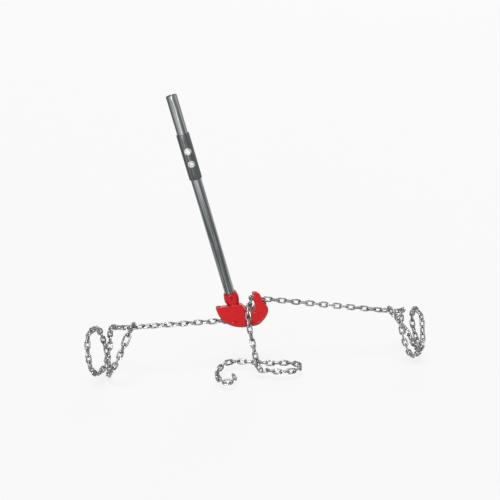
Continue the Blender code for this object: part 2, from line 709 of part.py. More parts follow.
class Choker:
    """Two turns from a run's end round a pipe, and the hook that closes them over the run."""

    def __init__(self, pipe, places, lift_centre, grabbed, end_link, end_shift, lean):
        self.pipe, self.places, self.lift_centre = pipe, places, lift_centre
        along = (grabbed[1] - grabbed[0]).normalized()
        self.centre = (grabbed[0] + grabbed[1]) / 2
        self.along = along
        across = Matrix.Rotation(-HOOK_TURN, 3, X) @ Z
        self.width = (across - along * across.dot(along)).normalized()
        if self.width.y > 0:
            self.width.negate()
        self.normal = along.cross(self.width)
        if self.normal.z < 0:
            self.normal.negate()
        self.lean = lean
        self.across = along * math.cos(lean) - self.width * math.sin(lean)
        self.width = self.width * math.cos(lean) + along * math.sin(lean)
        self.end_inner, self.end_width, self.end_wire, self.end_past = end_link
        self.eye = self.centre + self.width * HOOK_LENGTH
        flat = wire_flat(self.end_wire)
        self.eye_seat = math.sqrt((HOOK_EYE_RADIUS - HOOK_EYE_WIRE / 2 - 2.7 * GAP) ** 2 - flat**2)
        self.end_stop = self.find_end(end_shift)

    def end_link(self):
        """The end link's direction, width and wire."""
        matrix = link_matrix(self.eye, self.end_stop, self.across, 0)
        return matrix.col[0].xyz, matrix.col[1].xyz, self.end_wire

    def find_end(self, shift):
        """The end link's far joint: on the lay round the pipe, its own length from the eye."""
        target = self.end_inner + self.eye_seat - self.end_past
        x = self.eye.x + shift
        low, high = -15.0, -100.0
        for _ in range(40):
            middle = (low + high) / 2
            if (self.pipe.at(middle, x, LAY_HEIGHT + 1 * MM) - self.eye).length < target:
                low = middle
            else:
                high = middle
        self.end_angle = high
        return self.pipe.at(high, x, LAY_HEIGHT + 1 * MM)

    def route(self, start, extra):
        """From the run's last joint round to the end link, with the second turn lifted where it crosses."""
        points, outs = [start], [Z]
        x0 = start.x
        last = 720 + self.end_angle
        keys = [*self.places, (last, self.end_stop.x - x0)]
        for angle, offset in keys[:-1]:
            lift = CROSSING_LIFT * smooth_bump(angle, self.lift_centre, 22, 52)
            points.append(self.pipe.at(angle, x0 + offset, LAY_HEIGHT + extra + lift))
            outs.append(self.pipe.outward(angle))
        points.append(self.end_stop)
        outs.append(self.pipe.outward(last))
        return Route(points, outs)


def interpolated(keys, step):
    """The (angle, offset) keys refined to about this step by a smooth curve through them."""
    fine = []
    padded = [(2 * keys[0][0] - keys[1][0], 2 * keys[0][1] - keys[1][1]), *keys,
              (2 * keys[-1][0] - keys[-2][0], 2 * keys[-1][1] - keys[-2][1])]
    for i in range(len(keys) - 1):
        (a0, a), (b0, b), (c0, c), (d0, d) = padded[i : i + 4]
        count = max(1, round((c0 - b0) / step))
        before = (c - a) / (c0 - a0) * (c0 - b0)
        after = (d - b) / (d0 - b0) * (c0 - b0)
        for k in range(count):
            t = k / count
            value = (
                (2 * t**3 - 3 * t**2 + 1) * b + (t**3 - 2 * t**2 + t) * before
                + (3 * t**2 - 2 * t**3) * c + (t**3 - t**2) * after
            )
            fine.append((b0 + (c0 - b0) * t, value))
    fine.append(keys[-1])
    return fine


def close_choker(choker, chain, start):
    """Joints and outward directions at the extra lay with which whole links end at the end link."""
    chords = chain.chords()
    low, high = -1.0 * MM, 9.0 * MM
    for _ in range(24):
        middle = (low + high) / 2
        _, _, left = choker.route(start, middle).walk(chords)
        if left < 0:
            high = middle
        else:
            low = middle
    places, outs, _ = choker.route(start, low).walk(chords)
    places, outs = filled(places, outs, chain.count + 1)
    places[-1] = choker.end_stop
    return places, outs


def filled(places, outs, count):
    """The joints lengthened in a straight line where the route ended before them."""
    while len(places) < count:
        places.append(2 * places[-1] - places[-2])
        outs.append(outs[-1])
    return places, outs


def choker_chain(side, choker, places, start_roll, hook_pose):
    """The links round the pipe from the run's last joint, the end link and the hook."""
    before = link_matrix(places[-2], places[-1], Z, start_roll)
    start = places[-1]
    chord = LINK_INNER
    for _ in range(3):
        fitting, _, _ = choker.route(start, 0).walk([chord] * 200)
        groups = split(f"{side}_choker_chain", len(fitting))
        chain = Chain(groups, (before.col[0].xyz, before.col[1].xyz, LINK_WIRE), choker.end_link(), choker.end_past)
        for _ in range(4):
            places, outs = close_choker(choker, chain, start)
            hints = [(outs[k] + outs[k + 1]).normalized() for k in range(chain.count)]
            rolls = choker_rolls(places, hints, start_roll, choker.end_link())
            chain.follow(places, hints, rolls)
        chord = sum(chain.chords()) / chain.count
    chain.build(places, hints, rolls, ZINC)
    matrix = link_matrix(choker.eye, choker.end_stop, choker.across, 0, choker.end_inner, choker.eye_seat)
    add_object(f"{side}_end_link", link(matrix, choker.end_inner, choker.end_width, choker.end_wire), ZINC)
    hook(f"{side}_hook", choker, hook_pose)


def choker_rolls(places, hints, start_roll, end_link):
    """A quarter turn from link to link, with the last ones eased to cross the end link squarely."""
    count = len(hints)
    along = (places[-1] - places[-2]).normalized()
    level = (hints[-1] - along * hints[-1].dot(along)).normalized()
    square = along.cross(end_link[1]).normalized()
    target = math.atan2(along.cross(level).dot(square), level.dot(square))
    drift = (target - start_roll - math.pi / 2 * count + math.pi / 2) % math.pi - math.pi / 2
    return [start_roll + math.pi / 2 * (k + 1) + drift * smooth_bump(k, count - 1, 0, count * 0.45) for k in range(count)]


def hook(name, choker, flare):
    """A forged grab hook: it straddles one link of the run, bend above, its eye on the end link."""
    w, n, c = choker.width, choker.normal, choker.centre
    slot = wire_corner(LINK_WIRE) + 1.7 * GAP + HOOK_WIRE / 2
    seat = (LINK_WIDTH - LINK_WIRE) / 2 / math.cos(choker.lean)

    def point(along, aside):
        return c + w * along + n * aside

    path = [point(HOOK_LENGTH - HOOK_EYE_RADIUS, 0.5 * MM), point(17 * MM, slot * 0.55), point(11 * MM, slot * 0.95)]
    path += [point(2 * MM, slot)]
    path += [point(-seat - slot * math.sin(a), slot * math.cos(a)) for a in (0, 0.79, math.pi / 2, 2.36, math.pi)]
    path += [point(2 * MM, -slot), point(9 * MM, -slot), point(15 * MM, -slot - flare)]
    full = HOOK_WIRE / 2
    radii = [full * 0.8, full * 0.95, full] + [full] * 7 + [full * 0.9, full * 0.45]
    body = add_object(name, sweep(path, full, 8, radii=radii, flat_in=choker.across), ZINC)
    ring = [choker.eye + (w * math.cos(a) + n * math.sin(a)) * HOOK_EYE_RADIUS for a in turn(12)]
    eye = add_object(f"{name} eye", sweep(ring, HOOK_EYE_WIRE / 2, 8, closed=True), helper=True)
    boolean(body, eye, "UNION")


def run_chain(groups, start, end, start_roll, target_roll, finish):
    """A straight run of links; the last joint lies where whole links end on the line to end."""
    chain = Chain(groups)
    direction = (end - start).normalized()
    places = [start]
    for chord in chain.chords():
        places.append(places[-1] + direction * chord)
    last = chain.count - 1
    drift = (target_roll - start_roll - math.pi / 2 * last + math.pi / 2) % math.pi - math.pi / 2
    rolls = [start_roll + math.pi / 2 * k + drift * (k / last) ** 2 for k in range(chain.count)]
    chain.build(places, [Z] * chain.count, rolls, finish)
    return places, rolls[-1]


def anchor_side():
    x, z = PIN
    pin_side = x + PIN_DIAMETER / 2 + GAP
    start = Vector((pin_side - END_LINK_INNER + GAP / 2, 0, z))
    matrix = link_matrix(Vector((pin_side, 0, z)), start, Z, 0, END_LINK_INNER)
    add_object("anchor_link", link(matrix, END_LINK_INNER, END_LINK_WIDTH, END_LINK_WIRE), ZINC)
    end = Vector((-400 * MM, 0, RUN_HEIGHT))
    places, roll = run_chain(split("anchor_run_chain", ANCHOR_RUN_LINKS), start, end, math.pi / 2, HOOK_TURN, ZINC)
    keys = [
        (7, -24), (18, -43), (32, -54), (50, -61), (90, -66), (120, -71), (150, -81), (180, -94), (206, -105), (240, -117),
        (270, -123), (300, -125), (330, -125), (350, -122), (360, -116), (380, -104), (420, -95), (450, -89),
        (480, -82), (510, -74), (540, -72), (566, -72), (590, -62), (620, -44), (645, -28),
    ]
    fine = interpolated([(a, x * MM) for a, x in keys], 12)
    choker = Choker(Pipe(PIPE_OD, 0), fine, 506, places[-2:], (END_LINK_INNER, END_LINK_WIDTH, END_LINK_WIRE, -0.8 * MM), -14 * MM, HOOK_LEAN)
    choker_chain("anchor", choker, places, roll, 3 * MM)


def pull_side():
    bar = Vector((SEAT[0] - GAP - caught_reach(), 0, SEAT[1]))
    seat = bar - X * (caught_reach() + 4 * GAP)
    pipe = Pipe(PULLED_PIPE_OD, PULLED_PIPE_DROP)
    length = PULL_RUN_LINKS * LINK_INNER
    fall = SEAT[1] + PULLED_PIPE_DROP - RUN_HEIGHT
    end = Vector((seat.x + math.sqrt(length**2 - fall**2), 0, RUN_HEIGHT - PULLED_PIPE_DROP))
    groups = [("grab_slot_link", 1), *split("pull_run_chain", PULL_RUN_LINKS - 1)]
    places, roll = run_chain(groups, seat, end, 0.0, -HOOK_TURN, ZINC)
    keys = [
        (5, 20), (18, 36), (36, 43), (60, 46), (90, 49), (135, 52), (180, 55), (206, 57), (230, 62), (250, 70), (290, 75),
        (330, 81), (350, 81), (360, 78), (380, 80), (450, 88), (500, 96), (540, 98), (566, 89), (590, 66), (620, 44),
        (648, 28),
    ]
    fine = interpolated([(a, x * MM) for a, x in keys], 12)
    choker = Choker(pipe, fine, 228, places[-2:], (LINK_INNER, LINK_WIDTH, LINK_WIRE, 1.5 * MM), 8 * MM, HOOK_LEAN)
    choker_chain("pull", choker, places, roll, 6 * MM)
    return bar


def caught_reach():
    """From the centre line of the caught link's bar to its surface towards the horn."""
    hang = CAUGHT_HANG.normalized()
    return wire_reach(LINK_WIRE, (hang, hang.cross(Y).normalized()), X)


def slack(bar):
    """The pull chain's free tail: out of the throat, down over the pipe's front, then along the floor."""
    floor = -FLOOR_BELOW_CROWN + LINK_WIDTH / 2
    hang = PIPE_OD / 2 + LINK_WIDTH / 2 + 0.7 * MM
    centre = -PIPE_OD / 2
    start = bar + CAUGHT_HANG.normalized() * wire_flat(LINK_WIRE)
    drop = [(15, -28.5, 64), (13.5, -38, 44), (14.5, -38.5, 22), (16.5, -42, 3)]
    points = [start, start + CAUGHT_HANG.normalized() * LINK_INNER, *(Vector(p) * MM for p in drop)]
    outs = [-Y] * len(points)
    for angle, x in ((50, 19), (66, 22), (84, 26)):
        a = math.radians(angle)
        points.append(Vector((x * MM, -hang * math.sin(a), centre + hang * math.cos(a))))
        outs.append(-Y)
    floor_points = [
        (31, -72.5), (34, -73), (44, -76), (64, -80), (90, -93), (116, -98), (142, -99), (165, -90), (175, -71),
        (163, -54), (140, -46), (116, -43), (88, -40), (57, -31), (7, -18.5), (-25, -12), (-54, -14), (-78, -42),
        (-92, -78), (-91, -108), (-78, -130), (-56, -134), (-41, -117), (-41, -90), (-33, -66), (-10, -52), (12, -60),
        (22, -82),
    ]
    heights = [-85 * MM, -108 * MM]
    for i, (x, y) in enumerate(floor_points):
        points.append(Vector((x * MM, y * MM, heights[i] if i < len(heights) else floor)))
        outs.append(-Y if i < len(heights) else Z)
    route = Route(points, outs)
    groups = [("caught_links", 2), ("slack_drop_chain_1", 4), ("slack_drop_chain_2", 4)]
    for i, number in enumerate(SLACK_FLOOR_LINKS):
        groups.append((f"slack_floor_chain_{i + 1}", number))
    chain = Chain(groups)
    chain.clearance[groups[0][1]] = LIP_GAP
    for _ in range(4):
        places, out, _ = route.walk(chain.chords())
        places, out = filled(places, out, chain.count + 1)
        hints = slack_hints(places, floor)
        chain.follow(places, hints, [0.0] * chain.count)
        chain.starts[0] = 0.0
    chain.build(places, hints, [0.0] * chain.count, ZINC)


def slack_hints(places, floor):
    """Each link's width: a quarter turn from the one before, eased to a lean on the floor.

    The second link's is square to the bend over the throat's lip, so that the third turns in its own plane.
    """
    hints = []
    before = -X
    alongs = [(end - start).normalized() for start, end in zip(places, places[1:])]
    for k, along in enumerate(alongs):
        width = before.cross(along).normalized()
        if k == 1:
            width = along.cross(alongs[2]).normalized()
        if places[k].z < floor + 2 * MM:
            width = eased_to_lean(width, along)
        hints.append(width)
        before = width
    return hints


def eased_to_lean(width, along):
    """A floor link's width turned a little towards 45 degrees from upright, as a slack chain lies."""
    level = along.cross(Z).normalized()
    angle = math.atan2(width.dot(level), width.dot(level.cross(along)))
    target = round((angle - math.pi / 4) / (math.pi / 2)) * math.pi / 2 + math.pi / 4
    change = max(-FLOOR_EASE, min(FLOOR_EASE, target - angle))
    up = level.cross(along)
    return up * math.cos(angle + change) + level * math.sin(angle + change)


def main():
    clear_scene()
    head_casting()
    anchor_pin()
    cotter_pin()
    set_screw()
    handle()
    anchor_side()
    slack(pull_side())


if __name__ == "__main__":
    main()
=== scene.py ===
"""Looks of the pipe puller, built round its solids.

A red cast head rocks on its curved sole, driven by a tube handle in two lengths. Each of its two chains
ends in a choker, and the pull chain's free tail falls through the head's throat to the floor.
Lengths are metres.
+X runs to the pull side, +Y to the back and +Z up.
"""

import logging
import math
from dataclasses import dataclass
from enum import Enum
from typing import Iterable, Optional, Sequence, Union

import bpy
from mathutils import Matrix, Vector

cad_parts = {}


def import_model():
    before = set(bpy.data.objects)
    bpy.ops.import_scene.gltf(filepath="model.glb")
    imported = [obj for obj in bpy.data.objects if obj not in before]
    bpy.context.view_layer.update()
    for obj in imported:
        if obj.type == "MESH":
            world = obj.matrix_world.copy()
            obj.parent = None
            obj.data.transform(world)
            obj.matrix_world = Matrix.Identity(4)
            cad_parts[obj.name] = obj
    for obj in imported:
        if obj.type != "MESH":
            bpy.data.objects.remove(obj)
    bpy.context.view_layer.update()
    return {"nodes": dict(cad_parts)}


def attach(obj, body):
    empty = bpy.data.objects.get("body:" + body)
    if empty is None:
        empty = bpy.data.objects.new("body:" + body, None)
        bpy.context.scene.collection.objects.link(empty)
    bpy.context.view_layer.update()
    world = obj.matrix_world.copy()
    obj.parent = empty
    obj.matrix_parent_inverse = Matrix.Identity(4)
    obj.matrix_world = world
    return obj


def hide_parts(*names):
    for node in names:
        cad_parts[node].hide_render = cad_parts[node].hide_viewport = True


LOG = logging.getLogger("pipe_puller")
MM = 0.001
HANDLE_LEAN = math.radians(13.9)
PIN_X = -0.030
PIN_Z = 0.014
PIN_OD = 0.0095
GAP = 0.0003
Pair = tuple[float, float]
Triple = tuple[float, float, float]
Colour = Triple
Obj = bpy.types.Object


class Body(Enum):
    """The moving bodies of the model."""

    ANCHOR = "anchor_side"
    LEVER = "lever"
    RUN = "pull_run"
    CHOKER = "pull_choker"
    DROP = "slack_drop"
    FLOOR = "slack_floor"


class Slot(Enum):
    """The record's material slots."""

    ENAMEL = "red_enamel"
    TUBE = "tube_steel"
    SLEEVE = "sleeve_steel"
    ZINC = "zinc"
    DULL_ZINC = "dull_zinc"


class Signal:
    """A shader value; Python's operators on it add Math nodes."""

    def __init__(self, graph: "Graph", socket: bpy.types.NodeSocket) -> None:
        """Wraps one output socket of the graph."""
        self.graph = graph
        self.socket = socket

    def _math(self, operation: str, first: "Number", second: "Number") -> "Signal":
        """One Math node on two values."""
        return self.graph.value("ShaderNodeMath", {"operation": operation}, {0: first, 1: second})

    def __add__(self, other: "Number") -> "Signal":
        """Sum."""
        return self._math("ADD", self, other)

    __radd__ = __add__

    def __sub__(self, other: "Number") -> "Signal":
        """Difference."""
        return self._math("SUBTRACT", self, other)

    def __mul__(self, other: "Number") -> "Signal":
        """Product."""
        return self._math("MULTIPLY", self, other)

    __rmul__ = __mul__

    def eased(self, low: float, high: float) -> "Signal":
        """0 below low, 1 above high, smooth between them.

        Args:
            low: The value that becomes 0.
            high: The value that becomes 1.

        Returns:
            The eased value.
        """
        settings = {"interpolation_type": "SMOOTHSTEP"}
        inputs = {"Value": self, "From Min": low, "From Max": high}
        return self.graph.value("ShaderNodeMapRange", settings, inputs)


Number = Union[Signal, float]


class Graph:
    """The node tree of one new material."""

    def __init__(self, name: str) -> None:
        """Makes the material with a bare Principled shader."""
        self.material = bpy.data.materials.new(name)
        self.material.use_nodes = True
        self.tree = self.material.node_tree
        self.shader = self.tree.nodes["Principled BSDF"]
        self.place = self.node("ShaderNodeTexCoord").outputs["Object"]

    def node(
        self, kind: str, settings: Optional[dict] = None, inputs: Optional[dict] = None,
    ) -> bpy.types.Node:
        """Adds a node.

        Args:
            kind: Its type's name.
            settings: Its properties, set before the inputs.
            inputs: A number, colour, Signal or socket for each input, by name or index.

        Returns:
            The node.
        """
        made = self.tree.nodes.new(kind)
        for key, setting in (settings or {}).items():
            setattr(made, key, setting)
        for key, given in (inputs or {}).items():
            self.feed(made.inputs[key], given)
        return made

    def feed(self, socket: bpy.types.NodeSocket, given: object) -> None:
        """Links or sets one input socket."""
        if isinstance(given, Signal):
            given = given.socket
        if isinstance(given, bpy.types.NodeSocket):
            self.tree.links.new(given, socket)
        elif isinstance(given, tuple) and len(given) == 3 and socket.type == "RGBA":
            socket.default_value = (*given, 1.0)
        else:
            socket.default_value = given

    def value(self, kind: str, settings: Optional[dict] = None, inputs: Optional[dict] = None) -> Signal:
        """Adds a node and wraps its first output."""
        return Signal(self, self.node(kind, settings, inputs).outputs[0])

    def vector(self, operation: str, first: object, second: object = None) -> bpy.types.Node:
        """A Vector Math node on one or two vectors."""
        inputs = {0: first} if second is None else {0: first, 1: second}
        return self.node("ShaderNodeVectorMath", {"operation": operation}, inputs)

    def noise(
        self, scale: float, detail: float = 3.0, place: Optional[bpy.types.NodeSocket] = None,
    ) -> Signal:
        """Noise over the piece.

        Args:
            scale: Waves per metre.
            detail: Octaves.
            place: Other coordinates than the object's own.

        Returns:
            The noise, about 0.5 on average.
        """
        inputs = {"Vector": place or self.place, "Scale": scale, "Detail": detail, "Roughness": 0.55}
        return self.value("ShaderNodeTexNoise", None, inputs)

    def stretched(self, turn: Triple, scale: Triple) -> bpy.types.NodeSocket:
        """The object's coordinates, turned and then stretched."""
        point = {"vector_type": "POINT"}
        turned = self.node("ShaderNodeMapping", point, {"Vector": self.place, "Rotation": turn})
        made = self.node("ShaderNodeMapping", point, {"Vector": turned.outputs[0], "Scale": scale})
        return made.outputs[0]

    def mixed(self, share: Signal, first: object, second: object) -> bpy.types.NodeSocket:
        """Two colours mixed by a value."""
        made = self.node("ShaderNodeMix", {"data_type": "RGBA"})
        self.feed(made.inputs["Factor"], share)
        self.feed(made.inputs[6], first)
        self.feed(made.inputs[7], second)
        return made.outputs[2]

    def bumped(self, height: Signal, distance: float) -> None:
        """Gives the shader a bump of this height in metres."""
        made = self.node("ShaderNodeBump", None, {"Height": height, "Distance": distance})
        self.feed(self.shader.inputs["Normal"], made.outputs[0])

    def finished(self, colour: object, roughness: Number, metallic: Number) -> bpy.types.Material:
        """Feeds the shader and returns the material."""
        self.feed(self.shader.inputs["Base Color"], colour)
        self.feed(self.shader.inputs["Roughness"], roughness)
        self.feed(self.shader.inputs["Metallic"], metallic)
        return self.material


@dataclass(frozen=True)
class CastEnamel:
    """Gloss enamel brushed over a sand casting, chipped in places and rubbed through along the sole."""

    name: str = "red enamel"
    colour: Colour = (0.475, 0.0015, 0.005)
    deep: Colour = (0.29, 0.001, 0.003)
    rubbed: Colour = (0.16, 0.13, 0.12)
    rocker_height: float = 0.088
    sole_radius: float = 0.0875
    sole_edge: float = 0.003
    relief: float = 0.0009
    specular: float = 0.12
    coat: float = 0.3
    coat_roughness: float = 0.1

    def material(self) -> bpy.types.Material:
        """The enamel's material."""
        graph = Graph(self.name)
        pooled = graph.noise(38.0, 2.0).eased(0.52, 0.74)
        colour = graph.mixed(pooled * 0.45, self.colour, self.deep)
        offset = graph.vector("SUBTRACT", graph.place, (0.0, 0.0, self.rocker_height)).outputs[0]
        flat = graph.vector("MULTIPLY", offset, (1.0, 0.0, 1.0)).outputs[0]
        reach = Signal(graph, graph.vector("LENGTH", flat).outputs["Value"])
        sole = reach.eased(self.sole_radius - self.sole_edge, self.sole_radius + self.sole_edge)
        worn = sole * graph.noise(420.0, 4.0).eased(0.52, 0.62)
        chips = graph.noise(170.0, 4.0).eased(0.735, 0.75)
        bare = worn + chips
        colour = graph.mixed(bare, colour, self.rubbed)
        grain = graph.noise(950.0, 3.0)
        waves = graph.noise(110.0, 2.0)
        graph.bumped(grain * 0.3 + waves * 1.4 - bare * 0.15, self.relief)
        for socket, setting in (
            ("Specular IOR Level", self.specular),
            ("Coat Weight", self.coat),
            ("Coat Roughness", self.coat_roughness),
        ):
            graph.shader.inputs[socket].default_value = setting
        return graph.finished(colour, 0.34 + grain * 0.1 + bare * 0.25, 0.0)


@dataclass(frozen=True)
class DrawnSteel:
    """Tube steel with lengthwise draw marks, faint rust specks and rubbed scratches."""

    name: str
    colour: Colour
    streak: Colour
    bright: Colour
    roughness: float
    metallic: float
    rust: Colour = (0.10, 0.07, 0.05)
    relief: float = 0.00012
    lean: float = HANDLE_LEAN

    def material(self) -> bpy.types.Material:
        """The steel's material; its marks run along the handle."""
        graph = Graph(self.name)
        turn = (0.0, self.lean, 0.0)
        wide = graph.noise(1.0, 2.0, graph.stretched(turn, (150.0, 150.0, 2.2)))
        along = graph.stretched(turn, (420.0, 420.0, 6.0))
        draw = graph.noise(1.0, 3.0, along)
        fine = graph.noise(2.7, 2.0, along)
        blotch = graph.noise(30.0, 4.0)
        colour = graph.mixed(wide.eased(0.4, 0.62), self.streak, self.colour)
        colour = graph.mixed(draw.eased(0.54, 0.66) * 0.55, colour, self.bright)
        colour = graph.mixed(fine.eased(0.56, 0.7) * 0.5, colour, self.streak)
        specks = graph.noise(520.0, 2.0).eased(0.68, 0.76) * blotch.eased(0.42, 0.62)
        colour = graph.mixed(specks * 0.7, colour, self.rust)
        graph.bumped(fine * 0.6 + blotch * 0.4, self.relief)
        rough = self.roughness + blotch * 0.16 + fine * 0.08 - 0.12
        return graph.finished(colour, rough + specks * 0.3, self.metallic)


@dataclass(frozen=True)
class ZincPlate:
    """Bright zinc over steel, greyed in patches and darker in its handled spots."""

    name: str
    colour: Colour
    dulled: Colour
    roughness: float
    metallic: float = 0.95
    dirt: Colour = (0.055, 0.054, 0.05)
    relief: float = 0.00009

    def material(self) -> bpy.types.Material:
        """The plate's material."""
        graph = Graph(self.name)
        patch = graph.noise(95.0, 3.0)
        spot = graph.noise(640.0, 3.0)
        colour = graph.mixed(patch.eased(0.46, 0.66) * 0.85, self.colour, self.dulled)
        grime = spot.eased(0.57, 0.68) * 0.8
        colour = graph.mixed(grime, colour, self.dirt)
        graph.bumped(spot, self.relief)
        return graph.finished(colour, self.roughness + patch * 0.12 + grime * 0.2, self.metallic)


@dataclass(frozen=True)
class FloorFinish:
    """A plain pale studio floor."""

    colour: Colour = (0.80, 0.80, 0.80)
    seen: float = 0.82

    def material(self) -> bpy.types.Material:
        """The floor's material: white to the eye and in reflections, with its shadows kept."""
        graph = Graph("pale floor")
        made = graph.finished(self.colour, 0.85, 0.0)
        path = graph.node("ShaderNodeLightPath").outputs
        seen = Signal(graph, path["Is Camera Ray"]) + Signal(graph, path["Is Glossy Ray"])
        seen = seen + Signal(graph, path["Is Transmission Ray"])
        white = graph.node("ShaderNodeEmission", None, {"Color": (1.0, 1.0, 1.0), "Strength": 1.0})
        parts = {0: seen * self.seen, 1: graph.shader.outputs[0], 2: white.outputs[0]}
        blend = graph.node("ShaderNodeMixShader", None, parts)
        graph.tree.links.new(blend.outputs[0], graph.tree.nodes["Material Output"].inputs["Surface"])
        return made


class Bench:
    """The modelling operators, used on one piece at a time."""

    @staticmethod
    def clear() -> None:
        """Leaves edit mode with nothing selected."""
        if bpy.context.mode != "OBJECT":
            bpy.ops.object.mode_set(mode="OBJECT")
        bpy.ops.object.select_all(action="DESELECT")

    @staticmethod
    def take(obj: Obj) -> None:
        """Makes one piece the only one selected."""
        Bench.clear()
        obj.select_set(True)
        bpy.context.view_layer.objects.active = obj

    @staticmethod
    def edit(obj: Obj) -> None:
        """Opens one piece in edit mode with all of it selected."""
        Bench.take(obj)
        bpy.ops.object.mode_set(mode="EDIT")
        bpy.ops.mesh.select_mode(type="VERT")
        bpy.ops.mesh.select_all(action="SELECT")

    @staticmethod
    def named(name: str) -> Obj:
        """Names the piece that an operator has just made."""
        obj = bpy.context.active_object
        obj.name = obj.data.name = name
        return obj

    @staticmethod
    def modify(obj: Obj, kind: str, **settings: object) -> Obj:
        """Adds a modifier to a piece and applies it."""
        Bench.take(obj)
        bpy.ops.object.modifier_add(type=kind)
        modifier = obj.modifiers[-1]
        for key, setting in settings.items():
            setattr(modifier, key, setting)
        bpy.ops.object.modifier_apply(modifier=modifier.name)
        return obj

    @staticmethod
    def combine(obj: Obj, other: Obj, operation: str) -> None:
        """Unites, cuts or intersects a piece with another, which is used up."""
        Bench.modify(obj, "BOOLEAN", operation=operation, solver="EXACT", object=other)
        bpy.data.objects.remove(other)

    @staticmethod
    def join(parts: Sequence[Obj], name: str) -> Obj:
        """Joins pieces into one mesh."""
        Bench.take(parts[0])
        for part in parts[1:]:
            part.select_set(True)
        if len(parts) > 1:
            bpy.ops.object.join()
        return Bench.named(name)

    @staticmethod
    def placed(obj: Obj, matrix: Matrix) -> Obj:
        """Puts a piece's place in its mesh."""
        obj.data.transform(matrix)
        obj.data.update()
        return obj

    @staticmethod
    def smooth(obj: Obj, angle: float = 35.0) -> Obj:
        """Smooth shading with edges sharper than the angle kept."""
        Bench.take(obj)
        bpy.ops.object.shade_smooth_by_angle(angle=math.radians(angle))
        return obj

    @staticmethod
    def lathe(name: str, profile: Sequence[Pair], sides: int = 48, ring: bool = False) -> Obj:
        """Turns a profile round Z by extruding and scaling one ring of vertices.

        Args:
            name: The piece's name.
            profile: (radius, height) of each ring in turn.
            sides: Vertices in a ring.
            ring: Whether the last ring meets the first, as in a tube, rather than both being capped.

        Returns:
            The closed piece.
        """
        Bench.clear()
        radius, height = profile[0]
        bpy.ops.mesh.primitive_circle_add(vertices=sides, radius=radius, fill_type="NOTHING")
        obj = Bench.named(name)
        Bench.edit(obj)
        bpy.ops.transform.translate(value=(0, 0, height))
        for wide, high in profile[1:]:
            bpy.ops.mesh.extrude_region_move()
            bpy.ops.transform.translate(value=(0, 0, high - height))
            bpy.ops.transform.resize(value=(wide / radius, wide / radius, 1), center_override=(0, 0, high))
            radius, height = wide, high
        bpy.ops.mesh.select_all(action="DESELECT")
        bpy.ops.mesh.select_non_manifold()
        if ring:
            bpy.ops.mesh.bridge_edge_loops()
        else:
            bpy.ops.mesh.fill_holes(sides=0)
        bpy.ops.mesh.select_all(action="SELECT")
        bpy.ops.mesh.normals_make_consistent(inside=False)
        bpy.ops.object.mode_set(mode="OBJECT")
        return obj

    @staticmethod
    def copy_of(obj: Obj, name: str) -> Obj:
        """A copy of a piece with its own mesh."""
        made = obj.copy()
        made.data = obj.data.copy()
        made.name = made.data.name = name
        bpy.context.scene.collection.objects.link(made)
        return made

    @staticmethod
    def wire(name: str, points: Sequence[Vector], radii: Sequence[float], sides: int) -> Obj:
        """A round bar along smooth points, as a mesh with its ends filled.

        Args:
            name: The piece's name.
            points: The points that its centre line follows.
            radii: The bar's radius at each point.
            sides: The resolution of its round.

        Returns:
            The bar.
        """
        Bench.clear()
        bpy.ops.curve.primitive_bezier_curve_add()
        obj = Bench.named(name)
        curve = obj.data
        curve.splines.clear()
        spline = curve.splines.new("BEZIER")
        spline.bezier_points.add(len(points) - 1)
        for knot, point, radius in zip(spline.bezier_points, points, radii):
            knot.co = point
            knot.radius = radius / max(radii)
            knot.handle_left_type = knot.handle_right_type = "AUTO"
        spline.resolution_u = 8
        curve.bevel_depth = max(radii)
        curve.bevel_resolution = sides
        curve.use_fill_caps = True
        Bench.take(obj)
        bpy.ops.object.convert(target="MESH")
        Bench.edit(obj)
        bpy.ops.mesh.remove_doubles(threshold=1e-6)
        bpy.ops.mesh.normals_make_consistent(inside=False)
        bpy.ops.object.mode_set(mode="OBJECT")
        return obj


def aligned(origin: Vector, z_axis: Vector, x_hint: Vector) -> Matrix:
    """The matrix with its Z along z_axis and its X near x_hint."""
    up = z_axis.normalized()
    side = up.cross(x_hint).normalized()
    matrix = Matrix((side.cross(up), side, up)).transposed().to_4x4()
    matrix.translation = origin
    return matrix


def framed(origin: Vector, x_axis: Vector, y_hint: Vector) -> Matrix:
    """The matrix with its X along x_axis and its Y near y_hint."""
    along = x_axis.normalized()
    across = (y_hint - along * y_hint.dot(along)).normalized()
    matrix = Matrix((along, across, along.cross(across))).transposed().to_4x4()
    matrix.translation = origin
    return matrix


def fitted(obj: Obj, body: Body, finish: bpy.types.Material, nodes: Iterable[str]) -> None:
    """Dresses a finished piece and puts it in the assembly.

    Args:
        obj: The piece, in its place.
        body: The body that it rides on.
        finish: Its material.
        nodes: The solids that it stands for.
    """
    obj.data.materials.clear()
    obj.data.materials.append(finish)
    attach(obj, body.value)
    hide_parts(*nodes)
    LOG.info("%s: %d faces on %s", obj.name, len(obj.data.polygons), body.value)


